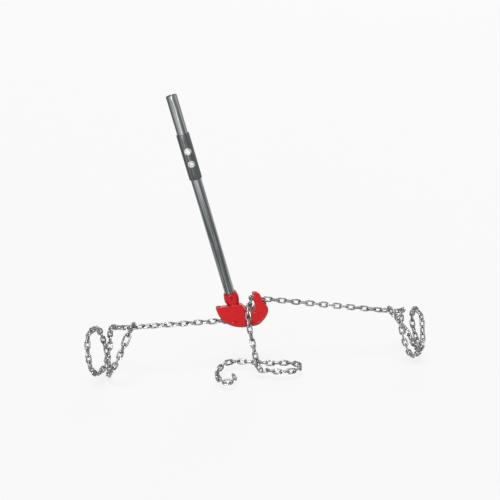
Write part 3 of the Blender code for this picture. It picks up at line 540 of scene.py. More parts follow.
@dataclass
class Finishes:
    """The materials that the pieces share."""

    enamel: bpy.types.Material
    tube: bpy.types.Material
    sleeve: bpy.types.Material
    zinc: bpy.types.Material
    dull_zinc: bpy.types.Material
    bolt: bpy.types.Material

    @classmethod
    def mixed_up(cls) -> "Finishes":
        """Makes all of them."""
        return cls(
            enamel=CastEnamel().material(),
            tube=DrawnSteel(
                "tube steel", (0.31, 0.32, 0.325), (0.07, 0.075, 0.078), (0.6, 0.615, 0.62), 0.38, 0.9,
            ).material(),
            sleeve=DrawnSteel(
                "sleeve steel", (0.10, 0.107, 0.107), (0.045, 0.048, 0.05), (0.26, 0.27, 0.27), 0.44, 0.8,
            ).material(),
            zinc=ZincPlate("zinc", (0.31, 0.315, 0.31), (0.09, 0.09, 0.088), 0.19).material(),
            dull_zinc=ZincPlate("dull zinc", (0.40, 0.40, 0.395), (0.24, 0.24, 0.235), 0.34).material(),
            bolt=ZincPlate("bolt zinc", (0.62, 0.62, 0.61), (0.3, 0.3, 0.295), 0.27, 0.9).material(),
        )


def rounded_side(outer: float, low: float, high: float, rim: float, ease: float, steps: int) -> list[Pair]:
    """The outside profile of a tube with rounded rims.

    Args:
        outer: Its outer radius.
        low: Its lower end.
        high: Its upper end.
        rim: How far the rounding reaches.
        ease: The share of rim that is taken off at the rounding's middle.
        steps: How many lengths the straight part is made of.

    Returns:
        The profile, from the lower end to the upper.
    """
    bottom = [(outer - rim, low), (outer - ease * rim, low + 0.3 * rim), (outer, low + rim)]
    middle = [(outer, low + (high - low) * k / steps) for k in range(1, steps)]
    top = [(outer, high - rim), (outer - ease * rim, high - 0.3 * rim), (outer - rim, high)]
    return bottom + middle + top


@dataclass
class Handle:
    """The two-length tube handle, the sleeve that joins it and the two bolts through it."""

    finishes: Finishes
    foot: Triple = (-0.0116, 0.0, 0.0)
    lean: float = HANDLE_LEAN
    tube_od: float = 0.03175
    wall: float = 0.003
    socket_bottom: float = 0.059
    sleeve_bottom: float = 0.4985
    sleeve_length: float = 0.1372
    sleeve_od: float = 0.0381
    upper_length: float = 0.182
    bolt_spacing: float = 0.0385
    bolt_diameter: float = 0.0095
    bolt_af: float = 0.0143
    head_height: float = 0.0062
    nut_height: float = 0.0083
    washer_od: float = 0.0206
    washer_thickness: float = 0.0016
    tail: float = 0.004
    corner_share: float = 0.94
    thread_length: float = 0.016
    thread_depth: float = 0.0007
    drill_half: float = 0.04
    turns: Pair = (11.0, -17.0)
    gap: float = GAP

    @property
    def axis(self) -> Vector:
        """The handle's direction, up from the head."""
        return Vector((-math.sin(self.lean), 0, math.cos(self.lean)))

    @property
    def joint(self) -> float:
        """Where the two tubes meet inside the sleeve, along the axis."""
        return self.sleeve_bottom + self.sleeve_length / 2

    def upright(self) -> Matrix:
        """Local Z along the handle, from its foot."""
        return aligned(Vector(self.foot), self.axis, Vector((1, 0, 0)))

    def across(self, distance: float) -> Matrix:
        """Local Z through the handle to the back, at this distance along it."""
        return aligned(Vector(self.foot) + self.axis * distance, Vector((0, 1, 0)), self.axis)

    def tube(self, name: str, low: float, high: float, bolt_at: float) -> Obj:
        """One tube with rounded rims and its bolt hole.

        Args:
            name: The piece's name.
            low: Its lower end along the axis.
            high: Its upper end.
            bolt_at: The bolt hole's place.

        Returns:
            The tube.
        """
        outer, inner, rim = self.tube_od / 2, self.tube_od / 2 - self.wall, 0.0006
        profile = rounded_side(outer, low, high, rim, 0.2, 12)
        profile += [(inner + rim, high), (inner, high - rim), (inner, low + rim), (inner + rim, low)]
        made = Bench.lathe(name, profile, 72, ring=True)
        Bench.placed(made, self.upright())
        self.drill(made, bolt_at)
        return Bench.smooth(made)

    def drill(self, obj: Obj, distance: float) -> None:
        """Drills a bolt hole through a tube."""
        radius = self.bolt_diameter / 2 + self.gap
        drill = Bench.lathe("drill", [(radius, -self.drill_half), (radius, self.drill_half)], 32)
        Bench.combine(obj, Bench.placed(drill, self.across(distance)), "DIFFERENCE")

    def sleeve(self) -> Obj:
        """The coupling sleeve, chamfered outside and rounded in its bore."""
        outer, inner = self.sleeve_od / 2, self.tube_od / 2 + self.gap
        low, high, rim = self.sleeve_bottom, self.sleeve_bottom + self.sleeve_length, 0.0008
        profile = rounded_side(outer, low, high, rim, 0.3, 8)
        profile += [(inner + 0.3 * rim, high), (inner, high - 0.3 * rim)]
        profile += [(inner, low + 0.3 * rim), (inner + 0.3 * rim, low)]
        made = Bench.placed(Bench.lathe("sleeve", profile, 80, ring=True), self.upright())
        for side in (-1, 1):
            self.drill(made, self.joint + side * self.bolt_spacing / 2)
        return Bench.smooth(made)

    def hexagon(self, name: str, low: float, high: float, chamfer_low: bool, chamfer_high: bool) -> Obj:
        """A forged hexagon with its corners turned off.

        Args:
            name: The piece's name.
            low: Its lower face.
            high: Its upper face.
            chamfer_low: Whether the lower corners are turned off.
            chamfer_high: Whether the upper corners are.

        Returns:
            The hexagon, along local Z.
        """
        reach = self.bolt_af / 2
        corner = reach / math.cos(math.pi / 6)
        Bench.clear()
        bpy.ops.mesh.primitive_cylinder_add(vertices=6, radius=corner, depth=high - low)
        made = Bench.placed(Bench.named(name), Matrix.Translation((0, 0, (low + high) / 2)))
        flat = reach * self.corner_share
        depth = (corner - flat) * math.tan(math.radians(30)) + 0.0003
        wide, past = corner + 0.0005, 1e-5
        profile = [(flat if chamfer_low else wide, low - past), (wide, low + depth * chamfer_low)]
        profile += [(wide, high - depth * chamfer_high), (flat if chamfer_high else wide, high + past)]
        Bench.combine(made, Bench.lathe("turned corners", profile, 48), "INTERSECT")
        return Bench.modify(made, "BEVEL", width=0.00022, segments=2, limit_method="ANGLE", angle_limit=0.6)

    def threaded(self, low: float, high: float, pitch: float = 0.0013) -> Obj:
        """A bolt's shank, plain from low and threaded to its rounded end at high."""
        radius, start = self.bolt_diameter / 2 - 0.0001, high - self.thread_length
        profile = [(radius, low), (radius, start)]
        turns = int((high - start - 0.001) / pitch)
        for k in range(turns):
            foot = start + k * pitch
            root = (radius - self.thread_depth, foot + 0.4 * pitch)
            profile += [root, (radius, foot + 0.8 * pitch), (radius, foot + pitch)]
        profile += [(radius - 0.0003, high - 0.0004), (radius - 0.0011, high)]
        return Bench.lathe("thread", profile, 40)

    def bolt(self, name: str, distance: float, turn: float) -> None:
        """A hexagon bolt with its two washers and its nut.

        Args:
            name: Which bolt it is, as the solids are named.
            distance: Its place along the handle.
            turn: How far its hexagons are turned, in degrees.
        """
        matrix = self.across(distance) @ Matrix.Rotation(math.radians(turn), 4, "Z")
        seat = self.sleeve_od / 2 + self.gap
        washer = seat + self.washer_thickness
        head_low = -washer - self.gap - self.head_height
        head = self.hexagon(f"{name}_bolt", head_low, -washer - self.gap, True, False)
        shank = self.threaded(-washer - self.gap - 0.001, washer + self.gap + self.nut_height + self.tail)
        Bench.combine(head, shank, "UNION")
        nut = self.hexagon(f"{name}_nut", washer + self.gap, washer + self.gap + self.nut_height, True, True)
        wide = self.bolt_diameter / 2 + self.gap
        hole = Bench.lathe("nut thread", [(wide, washer - 0.002), (wide, washer + 0.02)], 32)
        Bench.combine(nut, hole, "DIFFERENCE")
        finish = self.finishes.bolt
        for made, node in ((head, f"{name}_coupling_bolt"), (nut, f"{name}_coupling_nut")):
            Bench.smooth(Bench.placed(made, matrix), 28)
            fitted(made, Body.LEVER, finish, [node])
        for side, low in (("front", -washer), ("back", seat)):
            clear = self.bolt_diameter + 2 * self.gap
            made = washer_ring(f"{name}_{side}_washer", self.washer_od, clear, low, self.washer_thickness)
            Bench.placed(made, matrix)
            fitted(made, Body.LEVER, self.finishes.dull_zinc, [f"{name}_bolt_{side}_washer"])

    def build(self) -> None:
        """Builds and dresses the handle."""
        joint, half = self.joint, self.bolt_spacing / 2
        ends = (
            ("lower", self.socket_bottom + self.gap, joint - self.gap, joint - half),
            ("upper", joint + self.gap, joint + self.upper_length, joint + half),
        )
        for name, low, high, bolt_at in ends:
            made = self.tube(f"{name}_handle_tube", low, high, bolt_at)
            fitted(made, Body.LEVER, self.finishes.tube, [f"{name}_tube"])
        fitted(self.sleeve(), Body.LEVER, self.finishes.sleeve, ["coupling_sleeve"])
        for (name, _, _, bolt_at), turn in zip(ends, self.turns):
            self.bolt(name, bolt_at, turn)


def washer_ring(name: str, outer: float, bore: float, low: float, thickness: float) -> Obj:
    """A flat washer with its edges eased by stamping.

    Args:
        name: The piece's name.
        outer: Its outer diameter.
        bore: Its hole's diameter.
        low: Its lower face along local Z.
        thickness: How thick it is.

    Returns:
        The washer.
    """
    wide, hole, high, ease = outer / 2, bore / 2, low + thickness, 0.00025
    profile = [(wide - ease, low), (wide, low + ease), (wide, high - 1.6 * ease), (wide - 1.6 * ease, high)]
    profile += [(hole + ease, high), (hole, high - ease), (hole, low + ease), (hole + ease, low)]
    return Bench.smooth(Bench.lathe(name, profile, 40, ring=True))


@dataclass(frozen=True)
class Swell:
    """A soft pull on the casting, as with a grab brush across its whole thickness."""

    x: float
    z: float
    reach: float
    move: Pair

    def pull(self, point: Vector) -> Vector:
        """How far this pull moves a point."""
        share = 1.0 - math.hypot(point.x - self.x, point.z - self.z) / self.reach
        ease = share * share * (3.0 - 2.0 * share) if share > 0.0 else 0.0
        return Vector((self.move[0], 0.0, self.move[1])) * ease


@dataclass(frozen=True)
class Crest:
    """A rim of the casting that rises towards the front, between two widths and above a height."""

    low_x: Pair
    high_x: Pair
    rise_z: Pair
    fall_z: Pair
    slope: float
    along: Pair

    def pull(self, point: Vector, back: float) -> Vector:
        """How far this rim moves a point that lies in front of the casting's back."""
        share = self.slope * (back - point.y)
        share *= eased(point.x, *self.low_x) * (1.0 - eased(point.x, *self.high_x))
        share *= eased(point.z, *self.rise_z) * (1.0 - eased(point.z, *self.fall_z))
        return Vector((self.along[0], 0.0, self.along[1])) * share


def eased(value: float, low: float, high: float) -> float:
    """0 below low, 1 above high, smooth between them."""
    share = min(max((value - low) / (high - low), 0.0), 1.0)
    return share * share * (3.0 - 2.0 * share)


@dataclass
class Head:
    """The cast rocker head with the anchor pin, its washer and cotter, and the socket's set screw."""

    finishes: Finishes
    handle: Handle
    voxel: float = 0.0011
    smoothing: int = 7
    thickness: float = 0.048
    pin_x: float = PIN_X
    pin_z: float = PIN_Z
    pin_diameter: float = PIN_OD
    pin_head_od: float = 0.015
    pin_head_height: float = 0.0035
    pin_tail: float = 0.0035
    cotter_diameter: float = 0.0024
    cotter_leg: float = 0.009
    cotter_eye: float = 0.0023
    cotter_drill_half: float = 0.02
    key_radius: float = 0.0028
    key_depth: float = 0.0075
    screw_at: float = 0.1005
    screw_diameter: float = 0.0095
    screw_reach: float = 0.026

    @property
    def stack(self) -> float:
        """How far back the head and the pin's washer reach, with their gaps."""
        return self.thickness / 2 + self.handle.washer_thickness + 3 * self.handle.gap

    def casting(self, solid: Obj) -> None:
        """The casting with the fillets and soft edges that a sand mould leaves.

        Args:
            solid: The solid that it stands for.
        """
        made = Bench.copy_of(solid, "head")
        made.parent = None
        made.modifiers.clear()
        made.hide_render = made.hide_viewport = False
        for key in [k for k in made.keys() if k.startswith("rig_")]:
            del made[key]
        Bench.edit(made)
        bpy.ops.mesh.remove_doubles(threshold=2e-6)
        bpy.ops.object.mode_set(mode="OBJECT")
        Bench.modify(made, "REMESH", mode="VOXEL", voxel_size=self.voxel, adaptivity=0.0)
        Bench.modify(made, "SMOOTH", factor=0.5, iterations=self.smoothing)
        back = self.thickness / 2
        for vertex in made.data.vertices:
            point = vertex.co.copy()
            for crest in CRESTS:
                vertex.co += crest.pull(point, back)
            for swell in SWELLS:
                vertex.co += swell.pull(point)
        Bench.modify(made, "SMOOTH", factor=0.5, iterations=self.smoothing)
        bpy.ops.object.shade_smooth()
        fitted(made, Body.LEVER, self.finishes.enamel, ["head_casting"])

    def across(self) -> Matrix:
        """Local Z along the pin, to the back."""
        return aligned(Vector((self.pin_x, 0, self.pin_z)), Vector((0, 1, 0)), Vector((1, 0, 0)))

    def pin(self) -> None:
        """The clevis pin: domed head in front, cross hole and chamfer at the back, and its washer."""
        gap = self.handle.gap
        low = -self.thickness / 2 - gap - self.pin_head_height
        high = self.stack + self.cotter_diameter + self.pin_tail
        wide, radius, neck = self.pin_head_od / 2, self.pin_diameter / 2, low + self.pin_head_height
        profile = [(wide * 0.25, low), (wide * 0.6, low + 0.00025), (wide * 0.86, low + 0.0009)]
        profile += [(wide * 0.97, low + 0.0018), (wide, low + 0.0026), (wide - 0.0002, neck)]
        profile += [(radius + 0.0003, neck), (radius, neck + 0.0003)]
        profile += [(radius, high - 0.0012), (radius - 0.0005, high - 0.0004), (radius - 0.0013, high)]
        made = Bench.placed(Bench.lathe("clevis_pin", profile, 40), self.across())
        bore = self.cotter_diameter / 2 + gap
        half = self.cotter_drill_half
        hole = Bench.lathe("cotter drill", [(bore, -half), (bore, half)], 20)
        Bench.combine(made, Bench.placed(hole, Matrix.Translation(self.cotter_place())), "DIFFERENCE")
        Bench.smooth(made)
        fitted(made, Body.LEVER, self.finishes.enamel, ["anchor_pin"])
        washer = washer_ring("clevis_washer", self.handle.washer_od, self.pin_diameter + 2 * gap,
                             self.thickness / 2 + gap, self.handle.washer_thickness)
        fitted(Bench.placed(washer, self.across()), Body.LEVER, self.finishes.bolt, ["pin_washer"])

    def cotter_place(self) -> Vector:
        """Where the cotter crosses the pin."""
        return Vector((self.pin_x, self.stack + self.cotter_diameter / 2, self.pin_z))

    def cotter(self) -> None:
        """A split pin bent from half-round wire: eye above, two legs through the pin, spread below."""
        reach, radius = self.pin_diameter / 2, self.cotter_diameter / 2
        ring, middle = self.cotter_eye, reach + 0.0015 + 0.0028
        turns = [math.radians(degrees) for degrees in range(-60, 241, 30)]
        eye = [Vector((math.cos(a) * ring, 0, middle + math.sin(a) * ring)) for a in turns]
        thin = radius * 0.5
        right = ((thin, 0.0), (0.0024, 0.0045), (0.0078, 0.0056))
        left = ((-thin, 0.0), (-thin, 0.004), (-thin, self.cotter_leg))
        first, last = ([Vector((x, 0, -reach - drop)) for x, drop in leg] for leg in (right, left))
        path = [*reversed(first), Vector((thin, 0, 0)), *eye, Vector((-thin, 0, 0)), *last]
        made = Bench.wire("split_pin", path, [thin * 1.02] * len(path), sides=4)
        Bench.placed(Bench.smooth(made, 60), Matrix.Translation(self.cotter_place()))
        fitted(made, Body.LEVER, self.finishes.dull_zinc, ["cotter_pin"])

    def set_screw(self) -> None:
        """The socket set screw with its hexagon recess and a turned cup point."""
        low, high = -self.screw_reach, -self.handle.tube_od / 2 - self.handle.gap
        radius = self.screw_diameter / 2
        profile = [(radius - 0.0012, low), (radius - 0.0003, low + 0.0003), (radius, low + 0.001)]
        profile += [(radius, high - 0.0012), (radius - 0.0015, high)]
        made = Bench.lathe("set_screw", profile, 36)
        Bench.clear()
        bpy.ops.mesh.primitive_cylinder_add(vertices=6, radius=self.key_radius, depth=self.key_depth)
        key = Bench.placed(Bench.named("hexagon key"), Matrix.Translation((0, 0, low)))
        Bench.combine(made, key, "DIFFERENCE")
        Bench.smooth(Bench.placed(made, self.handle.across(self.screw_at)))
        fitted(made, Body.LEVER, self.finishes.enamel, ["socket_set_screw"])

    def build(self, solid: Obj) -> None:
        """Builds and dresses the head."""
        self.casting(solid)
        self.pin()
        self.cotter()
        self.set_screw()


# The ledge and the horn rise towards the front, and the right side is fuller low down.
CRESTS = (
    Crest((-0.100, -0.090), (-0.004, 0.010), (0.042, 0.055), (0.061, 0.080), 0.33, (-0.24, 0.97)),
    Crest((0.022, 0.033), (0.070, 0.090), (0.080, 0.092), (0.200, 0.210), 0.33, (0.0, 1.0)),
)
SWELLS = (
    Swell(0.066, 0.072, 0.030, (0.0036, 0.0010)),
    Swell(0.076, 0.046, 0.030, (0.0040, 0.0000)),
    Swell(0.052, 0.008, 0.042, (0.0022, -0.0072)),
)


X, Y, Z = (Vector(axis) for axis in ((1, 0, 0), (0, 1, 0), (0, 0, 1)))
LinkPlace = tuple[Vector, Vector, Vector]
Bar = tuple[Vector, Vector, float]
Groups = Sequence[tuple[str, int]]
BORDER_GAP = 0.7 * MM
LIP_GAP = 1.9 * MM
BITE = 0.3 * MM
ANCHOR_LOOP_BORE = 121.9 * MM
PULL_LOOP_BORE = 114.3 * MM
PULL_LOOP_DROP = 7.4 * MM
FLOOR_DROP = 140.0 * MM
SEAT = (34.0 * MM, 88.5 * MM)
LINK_WIRE = 5.6 * MM
LINK_INNER = 22.8 * MM
LINK_WIDTH = 20.0 * MM
END_LINK_WIRE = 6.5 * MM
END_LINK_INNER = 36.0 * MM
END_LINK_WIDTH = 25.0 * MM
WIRE_SIDES = 4
HOOK_EYE_RADIUS = 8.6 * MM
HOOK_EYE_WIRE = 6.6 * MM
HOOK_LENGTH = 31.0 * MM
ANCHOR_RUN_LINKS = 13
PULL_RUN_LINKS = 21
RUN_HEIGHT = 13.0 * MM
LAY_HEIGHT = 8.6 * MM
CROSSING_LIFT = 20 * MM
NODE_LINKS = 8
SLACK_FLOOR_LINKS = (12, 5, 6, 6)
CAUGHT_HANG = Vector((-0.36, -0.21, -0.91))
FLOOR_EASE = math.radians(14)
HOOK_LEAN = math.radians(23)
HOOK_TURN = math.radians(72)


@dataclass(frozen=True)
class HookPlace:
    """Where a hook holds its run: the held link's centre, the hook's directions and its tip's flare."""

    centre: Vector
    reach: Vector
    aside: Vector
    flare: float

    @property
    def eye(self) -> Vector:
        """The eye's centre."""
        return self.centre + self.reach * HOOK_LENGTH


def wire_corner(wire: float) -> float:
    """The corner radius of the faceted wire that has the round wire's section area."""
    return wire / 2 * math.sqrt(math.tau / (WIRE_SIDES * math.sin(math.tau / WIRE_SIDES)))


def wire_flat(wire: float) -> float:
    """From the faceted wire's centre line to the flat that faces into the link."""
    return wire_corner(wire) * math.cos(math.pi / WIRE_SIDES)


def wire_reach(wire: float, axes: Iterable[Vector], direction: Vector) -> float:
    """How far the faceted wire reaches from its centre line; its flats face the axes."""
    return wire_flat(wire) * sum(abs(axis.dot(direction)) for axis in axes)


def seat_allowances(first: Bar, second: Bar, clearance: float, fixed: Optional[float] = None) -> Pair:
    """How far each of two crossed links' inner ends stops short of their joint, for this clearance.

    A bend in one link's own plane turns about the middle of its round end, so that link goes further past.

    Args:
        first: The link before the joint, its direction towards the joint.
        second: The link after the joint, its direction away from it.
        clearance: The gap between their wires, below 0 where they are seated into each other.
        fixed: The first link's allowance, where it is already set.

    Returns:
        The allowance of each.
    """
    (a, a_width, a_wire), (b, b_width, b_wire) = first, second
    normal = a_width.cross(b_width).normalized()
    if normal.dot(a + b) < 0:
        normal.negate()
    apart = clearance + wire_reach(a_wire, (a, a.cross(a_width)), normal)
    apart += wire_reach(b_wire, (b, b.cross(b_width)), normal)
    share = abs(b.dot(a_width)) - abs(a.dot(b_width))
    a_past = apart / 2 * (1 + share) / a.dot(normal)
    if fixed is not None:
        a_past = wire_flat(a_wire) - fixed
    b_past = (apart - a_past * a.dot(normal)) / b.dot(normal)
    return wire_flat(a_wire) - a_past, wire_flat(b_wire) - b_past


def lie(start: Vector, end: Vector, hint: Vector, roll: float) -> tuple[Vector, Vector]:
    """How a link lies between two joints.

    Args:
        start: The joint at one end.
        end: The joint at the other.
        hint: The direction that its width has at a roll of 0.
        roll: How far it is rolled about its length, in radians.

    Returns:
        The directions of its length and its width.
    """
    along = (end - start).normalized()
    width = (hint - along * hint.dot(along)).normalized()
    return along, Matrix.Rotation(roll, 3, along) @ width


class Route:
    """A smooth line with the outward direction along it, walked at the chain's pitch."""

    def __init__(self, points: Sequence[Vector], outwards: Sequence[Vector], steps: int = 10) -> None:
        """Draws a smooth curve through the points.

        Args:
            points: The points that the line passes.
            outwards: The outward direction at each.
            steps: How many lengths the curve has from point to point.
        """
        self.points, self.outwards = [], []
        padded = [2 * points[0] - points[1], *points, 2 * points[-1] - points[-2]]
        for i in range(len(points) - 1):
            a, b, c, d = padded[i : i + 4]
            for k in range(steps):
                t = k / steps
                square, cube = 2 * a - 5 * b + 4 * c - d, 3 * b - a - 3 * c + d
                self.points.append(0.5 * (2 * b + (c - a) * t + square * t**2 + cube * t**3))
                self.outwards.append(outwards[i].lerp(outwards[i + 1], t).normalized())
        self.points.append(points[-1])
        self.outwards.append(outwards[-1])

    def walk(self, chords: Sequence[float]) -> tuple[list[Vector], list[Vector], float]:
        """Steps along the line.

        Args:
            chords: The straight length of each step.

        Returns:
            The places stepped on, the outward direction at each, and how much of the last step is over
            at the line's end, below 0 where line is left.
        """
        places, outs = [self.points[0]], [self.outwards[0]]
        index = 0
        for chord in chords:
            origin = places[-1]
            while index + 1 < len(self.points) and (self.points[index + 1] - origin).length < chord:
                index += 1
            if index + 1 == len(self.points):
                return places, outs, chord - (self.points[-1] - origin).length
            a, b = self.points[index], self.points[index + 1]
            low, high = 0.0, 1.0
            for _ in range(24):
                middle = (low + high) / 2
                if (a.lerp(b, middle) - origin).length < chord:
                    low = middle
                else:
                    high = middle
            places.append(a.lerp(b, high))
            outs.append(self.outwards[index].lerp(self.outwards[index + 1], high).normalized())
        return places, outs, -(self.points[-1] - places[-1]).length


class Chain:
    """Links between joints, grouped into nodes: seated into each other within a node, clear between nodes.

    An allowance is how far a link's inner end stops short of its joint, and below 0 how far it goes past.
    """

    def __init__(
        self, groups: Groups, before: Optional[Bar] = None, after: Optional[Bar] = None,
        after_past: float = 0.0,
    ) -> None:
        """Counts the links.

        Args:
            groups: Each node's name and its number of links.
            before: The link that the first one hangs in.
            after: The link that hangs in the last one.
            after_past: How far that link's inner end goes past its joint.
        """
        self.groups = groups
        self.before, self.after = before, after
        self.after_past = after_past
        self.clearance: dict[int, float] = {}
        self.count = sum(number for _, number in groups)
        self.borders = {0}
        for _, number in groups:
            self.borders.add(max(self.borders) + number)
        allowances = [-BORDER_GAP / 2 if k in self.borders else BITE / 2 for k in range(self.count + 1)]
        self.starts, self.ends = allowances[:-1], allowances[1:]

    def follow(self, places: Sequence[Vector], hints: Sequence[Vector], rolls: Sequence[float]) -> None:
        """Gives each joint the room that its bend needs.

        Args:
            places: The joints.
            hints: The direction of each link's width at a roll of 0.
            rolls: Each link's roll.
        """
        links = []
        for start, end, hint, roll in zip(places, places[1:], hints, rolls):
            links.append((*lie(start, end, hint, roll), LINK_WIRE))
        starts, ends = [0.0] * self.count, [0.0] * self.count
        for k in range(1, self.count):
            clearance = self.clearance.get(k, BORDER_GAP) if k in self.borders else -BITE
            ends[k - 1], starts[k] = seat_allowances(links[k - 1], links[k], clearance)
        if self.before:
            starts[0] = seat_allowances(self.before, links[0], BORDER_GAP, -BORDER_GAP / 2)[1]
        if self.after:
            along, width, wire = links[-1]
            ends[-1] = seat_allowances(self.after, (-along, width, wire), 2 * BORDER_GAP, -self.after_past)[1]
        self.starts, self.ends = starts, ends

    def chords(self) -> list[float]:
        """From joint to joint, along each link."""
        return [LINK_INNER + start + end for start, end in zip(self.starts, self.ends)]


def split(name: str, count: int) -> list[tuple[str, int]]:
    """(name_1, links), (name_2, links) and so on, as even as they go."""
    pieces = max(1, round(count / NODE_LINKS))
    sizes = [count // pieces + (1 if i < count % pieces else 0) for i in range(pieces)]
    return [(f"{name}_{i + 1}", size) for i, size in enumerate(sizes)]


class Loop:
    """The round that a choker is drawn to; its angles are degrees from the top to the back."""

    def __init__(self, bore: float, drop: float) -> None:
        """Places the round's middle, its top this drop under the origin."""
        self.radius = bore / 2
        self.height = -drop - self.radius

    def outward(self, angle: float) -> Vector:
        """The outward direction at an angle."""
        a = math.radians(angle)
        return Vector((0, math.sin(a), math.cos(a)))

    def at(self, angle: float, x: float, lay: float) -> Vector:
        """The place at an angle, this lay outside the round."""
        return Vector((x, 0, self.height)) + self.outward(angle) * (self.radius + lay)


def smooth_bump(value: float, centre: float, flat: float, ramp: float) -> float:
    """1 within flat of the centre, easing to 0 over the ramp."""
    t = (abs(value - centre) - flat) / ramp
    t = min(1.0, max(0.0, t))
    return 1 - t * t * (3 - 2 * t)


class Choker:
    """Two turns from a run's end round its loop, and the hook that closes them over the run."""

    def __init__(
        self, loop: Loop, keys: Sequence[Pair], lift_centre: float, grabbed: Sequence[Vector],
        end_link: tuple[float, float, float], end_shift: float,
    ) -> None:
        """Seats the hook on the run and finds where the choker ends.

        Args:
            loop: The round that it is drawn to.
            keys: The angles that it passes, each with how far along X it is there from its start.
            lift_centre: The angle at which the second turn crosses the first.
            grabbed: The joints of the run's link that the hook straddles.
            end_link: The end link's inner length and wire, and how far it goes past its joint.
            end_shift: How far along X the end link's far joint lies from the hook's eye.
        """
        self.loop, self.keys, self.lift_centre = loop, keys, lift_centre
        along = (grabbed[1] - grabbed[0]).normalized()
        self.centre = (grabbed[0] + grabbed[1]) / 2
        across = Matrix.Rotation(-HOOK_TURN, 3, X) @ Z
        self.width = (across - along * across.dot(along)).normalized()
        if self.width.y > 0:
            self.width.negate()
        self.normal = along.cross(self.width)
        if self.normal.z < 0:
            self.normal.negate()
        lean = HOOK_LEAN
        self.across = along * math.cos(lean) - self.width * math.sin(lean)
        self.width = self.width * math.cos(lean) + along * math.sin(lean)
        self.end_inner, self.end_wire, self.end_past = end_link
        self.eye = self.centre + self.width * HOOK_LENGTH
        flat = wire_flat(self.end_wire)
        self.eye_seat = math.sqrt((HOOK_EYE_RADIUS - HOOK_EYE_WIRE / 2 - 2.7 * GAP) ** 2 - flat**2)
        self.end_stop = self.find_end(end_shift)

    def end_link(self) -> Bar:
        """The end link's direction, width and wire."""
        return (*lie(self.eye, self.end_stop, self.across, 0.0), self.end_wire)

    def find_end(self, shift: float) -> Vector:
        """The end link's far joint: on the lay round the loop, its own length from the eye."""
        target = self.end_inner + self.eye_seat - self.end_past
        x = self.eye.x + shift
        low, high = -15.0, -100.0
        for _ in range(40):
            middle = (low + high) / 2
            if (self.loop.at(middle, x, LAY_HEIGHT + 1 * MM) - self.eye).length < target:
                low = middle
            else:
                high = middle
        self.end_angle = high
        return self.loop.at(high, x, LAY_HEIGHT + 1 * MM)

    def route(self, start: Vector, extra: float) -> Route:
        """From the run's last joint round to the end link, with the second turn lifted where it crosses.

        Args:
            start: The run's last joint.
            extra: How far outside its usual lay the choker lies.

        Returns:
            The route.
        """
        points, outs = [start], [Z]
        x0 = start.x
        last = 720 + self.end_angle
        keys = [*self.keys, (last, self.end_stop.x - x0)]
        for angle, offset in keys[:-1]:
            lift = CROSSING_LIFT * smooth_bump(angle, self.lift_centre, 22, 52)
            points.append(self.loop.at(angle, x0 + offset, LAY_HEIGHT + extra + lift))
            outs.append(self.loop.outward(angle))
        points.append(self.end_stop)
        outs.append(self.loop.outward(last))
        return Route(points, outs)


def interpolated(keys: Sequence[Pair], step: float) -> list[Pair]:
    """The (angle, offset) keys refined to about this step by a smooth curve through them."""
    fine = []
    padded = [(2 * keys[0][0] - keys[1][0], 2 * keys[0][1] - keys[1][1]), *keys,
              (2 * keys[-1][0] - keys[-2][0], 2 * keys[-1][1] - keys[-2][1])]
    for i in range(len(keys) - 1):
        (a0, a), (b0, b), (c0, c), (d0, d) = padded[i : i + 4]
        count = max(1, round((c0 - b0) / step))
        before = (c - a) / (c0 - a0) * (c0 - b0)
        after = (d - b) / (d0 - b0) * (c0 - b0)
        for k in range(count):
            t = k / count
            value = (
                (2 * t**3 - 3 * t**2 + 1) * b + (t**3 - 2 * t**2 + t) * before
                + (3 * t**2 - 2 * t**3) * c + (t**3 - t**2) * after
            )
            fine.append((b0 + (c0 - b0) * t, value))
    fine.append(keys[-1])
    return fine


def close_choker(choker: Choker, chain: Chain, start: Vector) -> tuple[list[Vector], list[Vector]]:
    """Finds the extra lay with which whole links end at the end link.

    Args:
        choker: The choker.
        chain: Its links.
        start: The run's last joint.

    Returns:
        The joints and the outward directions there.
    """
    chords = chain.chords()
    low, high = -1.0 * MM, 9.0 * MM
    for _ in range(24):
        middle = (low + high) / 2
        _, _, left = choker.route(start, middle).walk(chords)
        if left < 0:
            high = middle
        else:
            low = middle
    places, outs, _ = choker.route(start, low).walk(chords)
    places, outs = filled(places, outs, chain.count + 1)
    places[-1] = choker.end_stop
    return places, outs


def filled(places: list[Vector], outs: list[Vector], count: int) -> tuple[list[Vector], list[Vector]]:
    """The joints lengthened in a straight line where the route ended before them."""
    while len(places) < count:
        places.append(2 * places[-1] - places[-2])
        outs.append(outs[-1])
    return places, outs


def rounded(vector: Vector) -> Vector:
    """The vector to four digits, so that a hook's mesh comes out the same on every machine."""
    return Vector([round(number, 4) for number in vector])


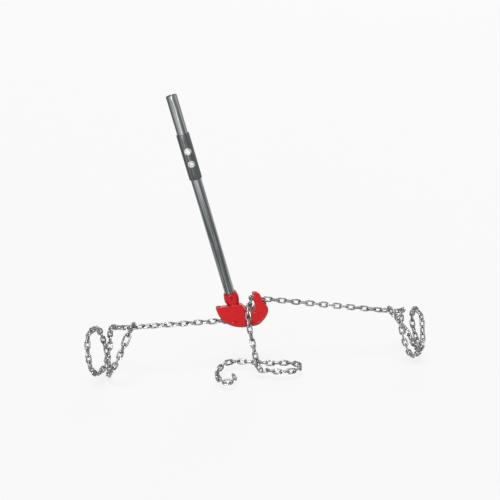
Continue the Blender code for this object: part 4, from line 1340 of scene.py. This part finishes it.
def choker_chain(
    layout: "Layout", side: str, choker: Choker, places: Sequence[Vector], start_roll: float, flare: float,
) -> None:
    """Lays the links of a choker from the run's last joint, its end link and its hook.

    Args:
        layout: Where they are noted.
        side: Which side's they are.
        choker: The choker.
        places: The run's last two joints.
        start_roll: The run's last roll.
        flare: How far the hook's tip is flared.
    """
    before = (*lie(places[-2], places[-1], Z, start_roll), LINK_WIRE)
    start = places[-1]
    chord = LINK_INNER
    for _ in range(3):
        fitting, _, _ = choker.route(start, 0).walk([chord] * 200)
        groups = split(f"{side}_choker_chain", len(fitting))
        chain = Chain(groups, before, choker.end_link(), choker.end_past)
        for _ in range(4):
            places, outs = close_choker(choker, chain, start)
            hints = [(outs[k] + outs[k + 1]).normalized() for k in range(chain.count)]
            rolls = choker_rolls(places, hints, start_roll, choker.end_link())
            chain.follow(places, hints, rolls)
        chord = sum(chain.chords()) / chain.count
    layout.lay(chain, places, hints, rolls)
    along = (choker.end_stop - choker.eye).normalized()
    near = choker.eye + along * choker.eye_seat
    layout.end_links[f"{side}_end_link"] = (near, choker.end_stop, choker.across)
    hold = (rounded(vector) for vector in (choker.centre, choker.width, choker.normal))
    layout.hooks[f"{side}_hook"] = HookPlace(*hold, flare)


def choker_rolls(
    places: Sequence[Vector], hints: Sequence[Vector], start_roll: float, end_link: Bar,
) -> list[float]:
    """A quarter turn from link to link, with the last ones eased to cross the end link squarely.

    Args:
        places: The joints.
        hints: The direction of each link's width at a roll of 0.
        start_roll: The run's last roll.
        end_link: The end link.

    Returns:
        Each link's roll.
    """
    count = len(hints)
    along = (places[-1] - places[-2]).normalized()
    level = (hints[-1] - along * hints[-1].dot(along)).normalized()
    square = along.cross(end_link[1]).normalized()
    target = math.atan2(along.cross(level).dot(square), level.dot(square))
    drift = (target - start_roll - math.pi / 2 * count + math.pi / 2) % math.pi - math.pi / 2
    eases = [smooth_bump(k, count - 1, 0, count * 0.45) for k in range(count)]
    return [start_roll + math.pi / 2 * (k + 1) + drift * ease for k, ease in enumerate(eases)]


def run_chain(
    layout: "Layout", groups: Groups, start: Vector, end: Vector, start_roll: float, target_roll: float,
) -> tuple[list[Vector], float]:
    """Lays a straight run; its last joint lies where whole links end on the line to end.

    Args:
        layout: Where the links are noted.
        groups: Each node's name and its number of links.
        start: The first joint.
        end: A point that the run is drawn towards.
        start_roll: The first link's roll.
        target_roll: The last link's roll, apart from whole half turns.

    Returns:
        The joints and the last link's roll.
    """
    chain = Chain(groups)
    direction = (end - start).normalized()
    places = [start]
    for chord in chain.chords():
        places.append(places[-1] + direction * chord)
    last = chain.count - 1
    drift = (target_roll - start_roll - math.pi / 2 * last + math.pi / 2) % math.pi - math.pi / 2
    rolls = [start_roll + math.pi / 2 * k + drift * (k / last) ** 2 for k in range(chain.count)]
    layout.lay(chain, places, [Z] * chain.count, rolls)
    return places, rolls[-1]


def anchor_side(layout: "Layout") -> None:
    """Lays the anchor link, the anchor run and its choker."""
    pin_side = PIN_X + PIN_OD / 2 + GAP
    start = Vector((pin_side - END_LINK_INNER + GAP / 2, 0, PIN_Z))
    layout.end_links["anchor_link"] = (Vector((pin_side, 0, PIN_Z)), start, Z)
    end = Vector((-400 * MM, 0, RUN_HEIGHT))
    groups = split("anchor_run_chain", ANCHOR_RUN_LINKS)
    places, roll = run_chain(layout, groups, start, end, math.pi / 2, HOOK_TURN)
    keys = [
        (7, -24), (18, -43), (32, -54), (50, -61), (90, -66), (120, -71), (150, -81), (180, -94),
        (206, -105), (240, -117), (270, -123), (300, -125), (330, -125), (350, -122), (360, -116),
        (380, -104), (420, -95), (450, -89), (480, -82), (510, -74), (540, -72), (566, -72), (590, -62),
        (620, -44), (645, -28),
    ]
    fine = interpolated([(a, x * MM) for a, x in keys], 12)
    end_link = (END_LINK_INNER, END_LINK_WIRE, -0.8 * MM)
    choker = Choker(Loop(ANCHOR_LOOP_BORE, 0.0), fine, 506, places[-2:], end_link, -14 * MM)
    choker_chain(layout, "anchor", choker, places, roll, 3 * MM)


def pull_side(layout: "Layout") -> Vector:
    """Lays the slot's link, the pull run and its choker, and returns where the caught link bears."""
    bar = Vector((SEAT[0] - GAP - caught_reach(), 0, SEAT[1]))
    seat = bar - X * (caught_reach() + 4 * GAP)
    length = PULL_RUN_LINKS * LINK_INNER
    fall = SEAT[1] + PULL_LOOP_DROP - RUN_HEIGHT
    end = Vector((seat.x + math.sqrt(length**2 - fall**2), 0, RUN_HEIGHT - PULL_LOOP_DROP))
    groups = [("grab_slot_link", 1), *split("pull_run_chain", PULL_RUN_LINKS - 1)]
    places, roll = run_chain(layout, groups, seat, end, 0.0, -HOOK_TURN)
    keys = [
        (5, 20), (18, 36), (36, 43), (60, 46), (90, 49), (135, 52), (180, 55), (206, 57), (230, 62),
        (250, 70), (290, 75), (330, 81), (350, 81), (360, 78), (380, 80), (450, 88), (500, 96),
        (540, 98), (566, 89), (590, 66), (620, 44), (648, 28),
    ]
    fine = interpolated([(a, x * MM) for a, x in keys], 12)
    loop = Loop(PULL_LOOP_BORE, PULL_LOOP_DROP)
    choker = Choker(loop, fine, 228, places[-2:], (LINK_INNER, LINK_WIRE, 1.5 * MM), 8 * MM)
    choker_chain(layout, "pull", choker, places, roll, 6 * MM)
    return bar


def caught_reach() -> float:
    """From the centre line of the caught link's bar to its surface towards the horn."""
    hang = CAUGHT_HANG.normalized()
    return wire_reach(LINK_WIRE, (hang, hang.cross(Y).normalized()), X)


def slack(layout: "Layout", bar: Vector) -> None:
    """Lays the pull chain's free tail: out of the throat, down in front, then along the floor."""
    floor = -FLOOR_DROP + LINK_WIDTH / 2
    hang = ANCHOR_LOOP_BORE / 2 + LINK_WIDTH / 2 + 0.7 * MM
    centre = -ANCHOR_LOOP_BORE / 2
    start = bar + CAUGHT_HANG.normalized() * wire_flat(LINK_WIRE)
    drop = [(15, -28.5, 64), (13.5, -38, 44), (14.5, -38.5, 22), (16.5, -42, 3)]
    points = [start, start + CAUGHT_HANG.normalized() * LINK_INNER, *(Vector(p) * MM for p in drop)]
    outs = [-Y] * len(points)
    for angle, x in ((50, 19), (66, 22), (84, 26)):
        a = math.radians(angle)
        points.append(Vector((x * MM, -hang * math.sin(a), centre + hang * math.cos(a))))
        outs.append(-Y)
    floor_points = [
        (31, -72.5), (34, -73), (44, -76), (64, -80), (90, -93), (116, -98), (142, -99), (165, -90),
        (175, -71), (163, -54), (140, -46), (116, -43), (88, -40), (57, -31), (7, -18.5), (-25, -12),
        (-54, -14), (-78, -42), (-92, -78), (-91, -108), (-78, -130), (-56, -134), (-41, -117),
        (-41, -90), (-33, -66), (-10, -52), (12, -60), (22, -82),
    ]
    heights = [-85 * MM, -108 * MM]
    for i, (x, y) in enumerate(floor_points):
        points.append(Vector((x * MM, y * MM, heights[i] if i < len(heights) else floor)))
        outs.append(-Y if i < len(heights) else Z)
    route = Route(points, outs)
    groups = [("caught_links", 2), ("slack_drop_chain_1", 4), ("slack_drop_chain_2", 4)]
    for i, number in enumerate(SLACK_FLOOR_LINKS):
        groups.append((f"slack_floor_chain_{i + 1}", number))
    chain = Chain(groups)
    chain.clearance[groups[0][1]] = LIP_GAP
    for _ in range(4):
        places, out, _ = route.walk(chain.chords())
        places, out = filled(places, out, chain.count + 1)
        hints = slack_hints(places, floor)
        chain.follow(places, hints, [0.0] * chain.count)
        chain.starts[0] = 0.0
    layout.lay(chain, places, hints, [0.0] * chain.count)


def slack_hints(places: Sequence[Vector], floor: float) -> list[Vector]:
    """Each link's width: a quarter turn from the one before, eased to a lean on the floor.

    The second link's is square to the bend over the throat's lip, so that the third turns in its own plane.
    """
    hints = []
    before = -X
    alongs = [(end - start).normalized() for start, end in zip(places, places[1:])]
    for k, along in enumerate(alongs):
        width = before.cross(along).normalized()
        if k == 1:
            width = along.cross(alongs[2]).normalized()
        if places[k].z < floor + 2 * MM:
            width = eased_to_lean(width, along)
        hints.append(width)
        before = width
    return hints


def eased_to_lean(width: Vector, along: Vector) -> Vector:
    """A floor link's width turned a little towards 45 degrees from upright, as a slack chain lies."""
    level = along.cross(Z).normalized()
    angle = math.atan2(width.dot(level), width.dot(level.cross(along)))
    target = round((angle - math.pi / 4) / (math.pi / 2)) * math.pi / 2 + math.pi / 4
    change = max(-FLOOR_EASE, min(FLOOR_EASE, target - angle))
    up = level.cross(along)
    return up * math.cos(angle + change) + level * math.sin(angle + change)


class Layout:
    """Where every link and hook lies, worked out from the pin and the horn along both runs."""

    def __init__(self) -> None:
        """Works all of it out."""
        self.links: dict[str, list[LinkPlace]] = {}
        self.end_links: dict[str, LinkPlace] = {}
        self.hooks: dict[str, HookPlace] = {}
        anchor_side(self)
        slack(self, pull_side(self))

    def lay(
        self, chain: Chain, places: Sequence[Vector], hints: Sequence[Vector], rolls: Sequence[float],
    ) -> None:
        """Notes both joints and the width's direction of each link.

        Args:
            chain: The links.
            places: Their joints.
            hints: The direction of each link's width at a roll of 0.
            rolls: Each link's roll.
        """
        first = 0
        for name, number in chain.groups:
            self.links[name] = []
            for k in range(first, first + number):
                width = lie(places[k], places[k + 1], hints[k], rolls[k])[1]
                self.links[name].append((places[k], places[k + 1], width))
            first += number


@dataclass(frozen=True)
class LinkSize:
    """One size of welded link."""

    wire: float
    inner: float
    width: float

    @property
    def bend(self) -> float:
        """The radius of its end's centre line."""
        return (self.width - self.wire) / 2


class ChainForge:
    """Forges one link of each size and lays copies of it from joint to joint."""

    REGULAR = LinkSize(LINK_WIRE, LINK_INNER, LINK_WIDTH)
    END = LinkSize(END_LINK_WIRE, END_LINK_INNER, END_LINK_WIDTH)
    ROUND_STEPS = 20
    WIRE_STEPS = 9
    WELD_HALF = 1.9 * MM
    WELD_SWELL = 1.16

    def __init__(self) -> None:
        """Forges the patterns."""
        self.patterns = {size: self.forged(size) for size in (self.REGULAR, self.END)}

    def forged(self, size: LinkSize) -> Obj:
        """A link about the origin, its length along X, with the swell of its weld on one side."""
        Bench.clear()
        bpy.ops.mesh.primitive_torus_add(
            major_segments=self.ROUND_STEPS, minor_segments=self.WIRE_STEPS, major_radius=size.bend,
            minor_radius=size.wire / 2,
        )
        made = Bench.named(f"link pattern {size.inner * 1000:.0f}")
        Bench.placed(made, Matrix.Rotation(math.pi / self.ROUND_STEPS, 4, "Z"))
        stretch = size.inner / 2 + size.wire / 2 - size.bend
        for vertex in made.data.vertices:
            vertex.co.x += math.copysign(stretch, vertex.co.x)
        Bench.edit(made)
        for cut in (-self.WELD_HALF, -self.WELD_HALF / 3, self.WELD_HALF / 3, self.WELD_HALF):
            bpy.ops.mesh.select_all(action="SELECT")
            bpy.ops.mesh.bisect(plane_co=(cut, 0, 0), plane_no=(1, 0, 0))
        bpy.ops.object.mode_set(mode="OBJECT")
        for vertex in made.data.vertices:
            vertex.select = abs(vertex.co.x) < self.WELD_HALF / 2 and vertex.co.y > 0
        for part in (*made.data.edges, *made.data.polygons):
            part.select = False
        bpy.ops.object.mode_set(mode="EDIT")
        swell = self.WELD_SWELL
        bpy.ops.transform.resize(value=(1, swell, swell), center_override=(0, size.bend, 0))
        bpy.ops.object.mode_set(mode="OBJECT")
        bpy.ops.object.shade_smooth()
        made.hide_render = True
        return made

    def laid(self, start: Vector, end: Vector, width: Vector, size: LinkSize, flip: bool = False) -> Obj:
        """One link whose inner ends reach both joints.

        Args:
            start: The joint at one end.
            end: The joint at the other.
            width: The direction of its width.
            size: Which link.
            flip: Whether its weld is turned to the other side.

        Returns:
            The link, in place.
        """
        made = Bench.copy_of(self.patterns[size], "link")
        made.hide_render = False
        spare = ((end - start).length - size.inner) / 2
        for vertex in made.data.vertices:
            vertex.co.x += math.copysign(spare, vertex.co.x) if abs(vertex.co.x) > self.WELD_HALF * 1.5 else 0
        turn = Matrix.Rotation(math.pi, 4, "X") if flip else Matrix.Identity(4)
        return Bench.placed(made, framed((start + end) / 2, end - start, width) @ turn)

    def stretch(self, name: str, places: Sequence[LinkPlace]) -> Obj:
        """A stretch of chain.

        Args:
            name: The piece's name.
            places: Each link's two joints and its width's direction.

        Returns:
            The stretch as one piece.
        """
        links = [self.laid(*place, self.REGULAR, k % 3 == 1) for k, place in enumerate(places)]
        return Bench.join(links, name)

    def clear_up(self) -> None:
        """Removes the patterns."""
        for pattern in self.patterns.values():
            bpy.data.objects.remove(pattern)


@dataclass
class GrabHook:
    """A forged grab hook that straddles one link of the run, its eye on the end link."""

    name: str
    hold: HookPlace
    wire: float = 8.4 * MM
    slot: float = 8.67 * MM
    seat: float = 7.83 * MM
    eye_radius: float = HOOK_EYE_RADIUS
    eye_wire: float = HOOK_EYE_WIRE
    voxel: float = 0.55 * MM

    def point(self, along: float, side: float) -> Vector:
        """A point of the hook's own plane."""
        return self.hold.centre + self.hold.reach * along + self.hold.aside * side

    def build(self) -> Obj:
        """Bends the bar, welds the eye on and softens the whole as a forging.

        Returns:
            The hook.
        """
        hold, slot, seat, full = self.hold, self.slot, self.seat, self.wire / 2
        path = [self.point(HOOK_LENGTH - self.eye_radius, 0.5 * MM), self.point(17 * MM, slot * 0.55)]
        path += [self.point(11 * MM, slot * 0.95), self.point(2 * MM, slot)]
        for turn in (0.0, 0.79, math.pi / 2, 2.36, math.pi):
            path.append(self.point(-seat - slot * math.sin(turn), slot * math.cos(turn)))
        path += [self.point(2 * MM, -slot), self.point(9 * MM, -slot)]
        path.append(self.point(15 * MM, -slot - hold.flare))
        taper = (0.8, 0.9, *(1.0,) * 7, 0.95, 0.8, 0.42)
        made = Bench.wire(self.name, path, [full * share for share in taper], sides=5)
        Bench.clear()
        bpy.ops.mesh.primitive_torus_add(
            major_segments=36, minor_segments=14,
            major_radius=self.eye_radius, minor_radius=self.eye_wire / 2,
        )
        normal = hold.reach.cross(hold.aside)
        eye = Bench.placed(Bench.named("hook eye"), aligned(hold.eye, normal, hold.reach))
        Bench.combine(made, eye, "UNION")
        Bench.modify(made, "REMESH", mode="VOXEL", voxel_size=self.voxel, adaptivity=0.0)
        Bench.modify(made, "SMOOTH", factor=0.5, iterations=5)
        Bench.take(made)
        bpy.ops.object.shade_smooth()
        return made


@dataclass
class Chains:
    """Every stretch of chain, the two end links and the two hooks."""

    finishes: Finishes
    forge: ChainForge
    layout: Layout

    def stretches(self) -> None:
        """Lays each stretch where its solid is."""
        for node, places in self.layout.links.items():
            made = self.forge.stretch(node.replace("chain", "links"), places)
            fitted(made, body_carrying(node), self.finishes.zinc, [node])

    def end_links(self) -> None:
        """The anchor link on the pin and the two links that the hooks' eyes hold."""
        forge = self.forge
        for name, size, body in (
            ("anchor_link", forge.END, Body.ANCHOR),
            ("anchor_end_link", forge.END, Body.ANCHOR),
            ("pull_end_link", forge.REGULAR, Body.CHOKER),
        ):
            made = forge.laid(*self.layout.end_links[name], size)
            made.name = made.data.name = name.replace("link", "ring_link")
            fitted(made, body, self.finishes.zinc, [name])

    def hooks(self) -> None:
        """Both grab hooks."""
        for node, body in (("anchor_hook", Body.ANCHOR), ("pull_hook", Body.CHOKER)):
            made = GrabHook(node.replace("hook", "grab_hook"), self.layout.hooks[node]).build()
            fitted(made, body, self.finishes.zinc, [node])

    def build(self) -> None:
        """Builds and dresses all of them."""
        self.stretches()
        self.end_links()
        self.hooks()
        self.forge.clear_up()


CARRIED = (
    ("anchor", Body.ANCHOR), ("grab", Body.RUN), ("pull_run", Body.RUN), ("pull_choker", Body.CHOKER),
    ("slack_drop", Body.DROP), ("slack_floor", Body.FLOOR), ("caught", Body.LEVER),
)


def body_carrying(node: str) -> Body:
    """The body that a stretch of chain rides on."""
    return next(body for start, body in CARRIED if node.startswith(start))


@dataclass
class Studio:
    """The pale floor, the soft lamps and the camera at the photograph's viewing angle."""

    floor_height: float = -0.1604
    floor_half: float = 150.0
    focal_px: float = 729.2
    frame_px: float = 500.0
    sensor: float = 36.0
    eye: Triple = (-0.242, -2.077, 1.053)
    pitch: float = math.radians(21.0)
    yaw: float = math.radians(7.37)
    roll: float = math.radians(0.67)
    world: Colour = (0.22, 0.222, 0.225)
    backdrop: Colour = (0.945, 0.945, 0.945)
    far: float = 500.0

    def floor(self) -> None:
        """The floor that the slack chain lies on."""
        Bench.clear()
        bpy.ops.mesh.primitive_grid_add(x_subdivisions=8, y_subdivisions=8, size=2 * self.floor_half)
        made = Bench.placed(Bench.named("studio_floor"), Matrix.Translation((0, 0, self.floor_height)))
        made.data.materials.append(FloorFinish().material())

    def sun(self, name: str, azimuth: float, height: float, strength: float, spread: float) -> None:
        """A broad, distant lamp.

        Args:
            name: The lamp's name.
            azimuth: Degrees to the right of straight in front.
            height: Degrees above the floor.
            strength: Its strength.
            spread: How wide it looks, in degrees.
        """
        Bench.clear()
        bpy.ops.object.light_add(type="SUN", location=(0, 0, 3))
        made = bpy.context.active_object
        made.name = made.data.name = name
        made.data.energy = strength
        made.data.angle = math.radians(spread)
        made.rotation_euler = (math.radians(90 - height), 0, math.radians(azimuth))

    def lights(self) -> None:
        """A low key from the left front, a broad lamp above, weak ones from the right and the back."""
        self.sun("key", -15.0, 4.0, 2.3, 10.0)
        self.sun("top", -30.0, 74.0, 1.4, 26.0)
        self.sun("fill", 60.0, 35.0, 0.25, 40.0)
        self.sun("back", 160.0, 30.0, 0.7, 30.0)

    def surroundings(self) -> None:
        """An even dim surrounding that looks as white as the floor to the eye and in reflections."""
        world = bpy.data.worlds.new("studio")
        bpy.context.scene.world = world
        world.use_nodes = True
        tree = world.node_tree
        dim = tree.nodes["Background"]
        dim.inputs["Color"].default_value = (*self.world, 1.0)
        white = tree.nodes.new("ShaderNodeBackground")
        white.inputs["Color"].default_value = (*self.backdrop, 1.0)
        path = tree.nodes.new("ShaderNodeLightPath").outputs
        seen = path["Is Camera Ray"]
        for other in ("Is Glossy Ray", "Is Transmission Ray"):
            either = tree.nodes.new("ShaderNodeMath")
            either.operation = "MAXIMUM"
            tree.links.new(seen, either.inputs[0])
            tree.links.new(path[other], either.inputs[1])
            seen = either.outputs[0]
        blend = tree.nodes.new("ShaderNodeMixShader")
        tree.links.new(seen, blend.inputs[0])
        tree.links.new(dim.outputs[0], blend.inputs[1])
        tree.links.new(white.outputs[0], blend.inputs[2])
        tree.links.new(blend.outputs[0], tree.nodes["World Output"].inputs["Surface"])

    def camera(self) -> None:
        """The camera, from its focal length, place and three turns."""
        cos_p, sin_p = math.cos(self.pitch), math.sin(self.pitch)
        cos_y, sin_y = math.cos(self.yaw), math.sin(self.yaw)
        ahead = Vector((sin_y * cos_p, cos_y * cos_p, -sin_p))
        right, up = Vector((cos_y, -sin_y, 0)), Vector((sin_y * sin_p, cos_y * sin_p, cos_p))
        cos_r, sin_r = math.cos(self.roll), math.sin(self.roll)
        columns = (right * cos_r - up * sin_r, right * sin_r + up * cos_r, -ahead)
        matrix = Matrix(columns).transposed().to_4x4()
        matrix.translation = self.eye
        Bench.clear()
        bpy.ops.object.camera_add()
        made = bpy.context.active_object
        made.matrix_world = matrix
        made.data.sensor_width = self.sensor
        made.data.lens = self.focal_px / self.frame_px * self.sensor
        made.data.clip_end = self.far
        bpy.context.scene.camera = made

    def build(self) -> None:
        """Sets the studio up."""
        self.floor()
        self.lights()
        self.surroundings()
        self.camera()
        bpy.context.scene.view_settings.view_transform = "Standard"


def main() -> None:
    """Builds the pipe puller's looks round the solids."""
    logging.basicConfig(level=logging.INFO, format="%(name)s: %(message)s")
    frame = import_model()
    finishes = Finishes.mixed_up()
    handle = Handle(finishes)
    handle.build()
    Head(finishes, handle).build(frame["nodes"]["head_casting"])
    Chains(finishes, ChainForge(), Layout()).build()
    Studio().build()
    Bench.clear()


if __name__ == "__main__":
    main()
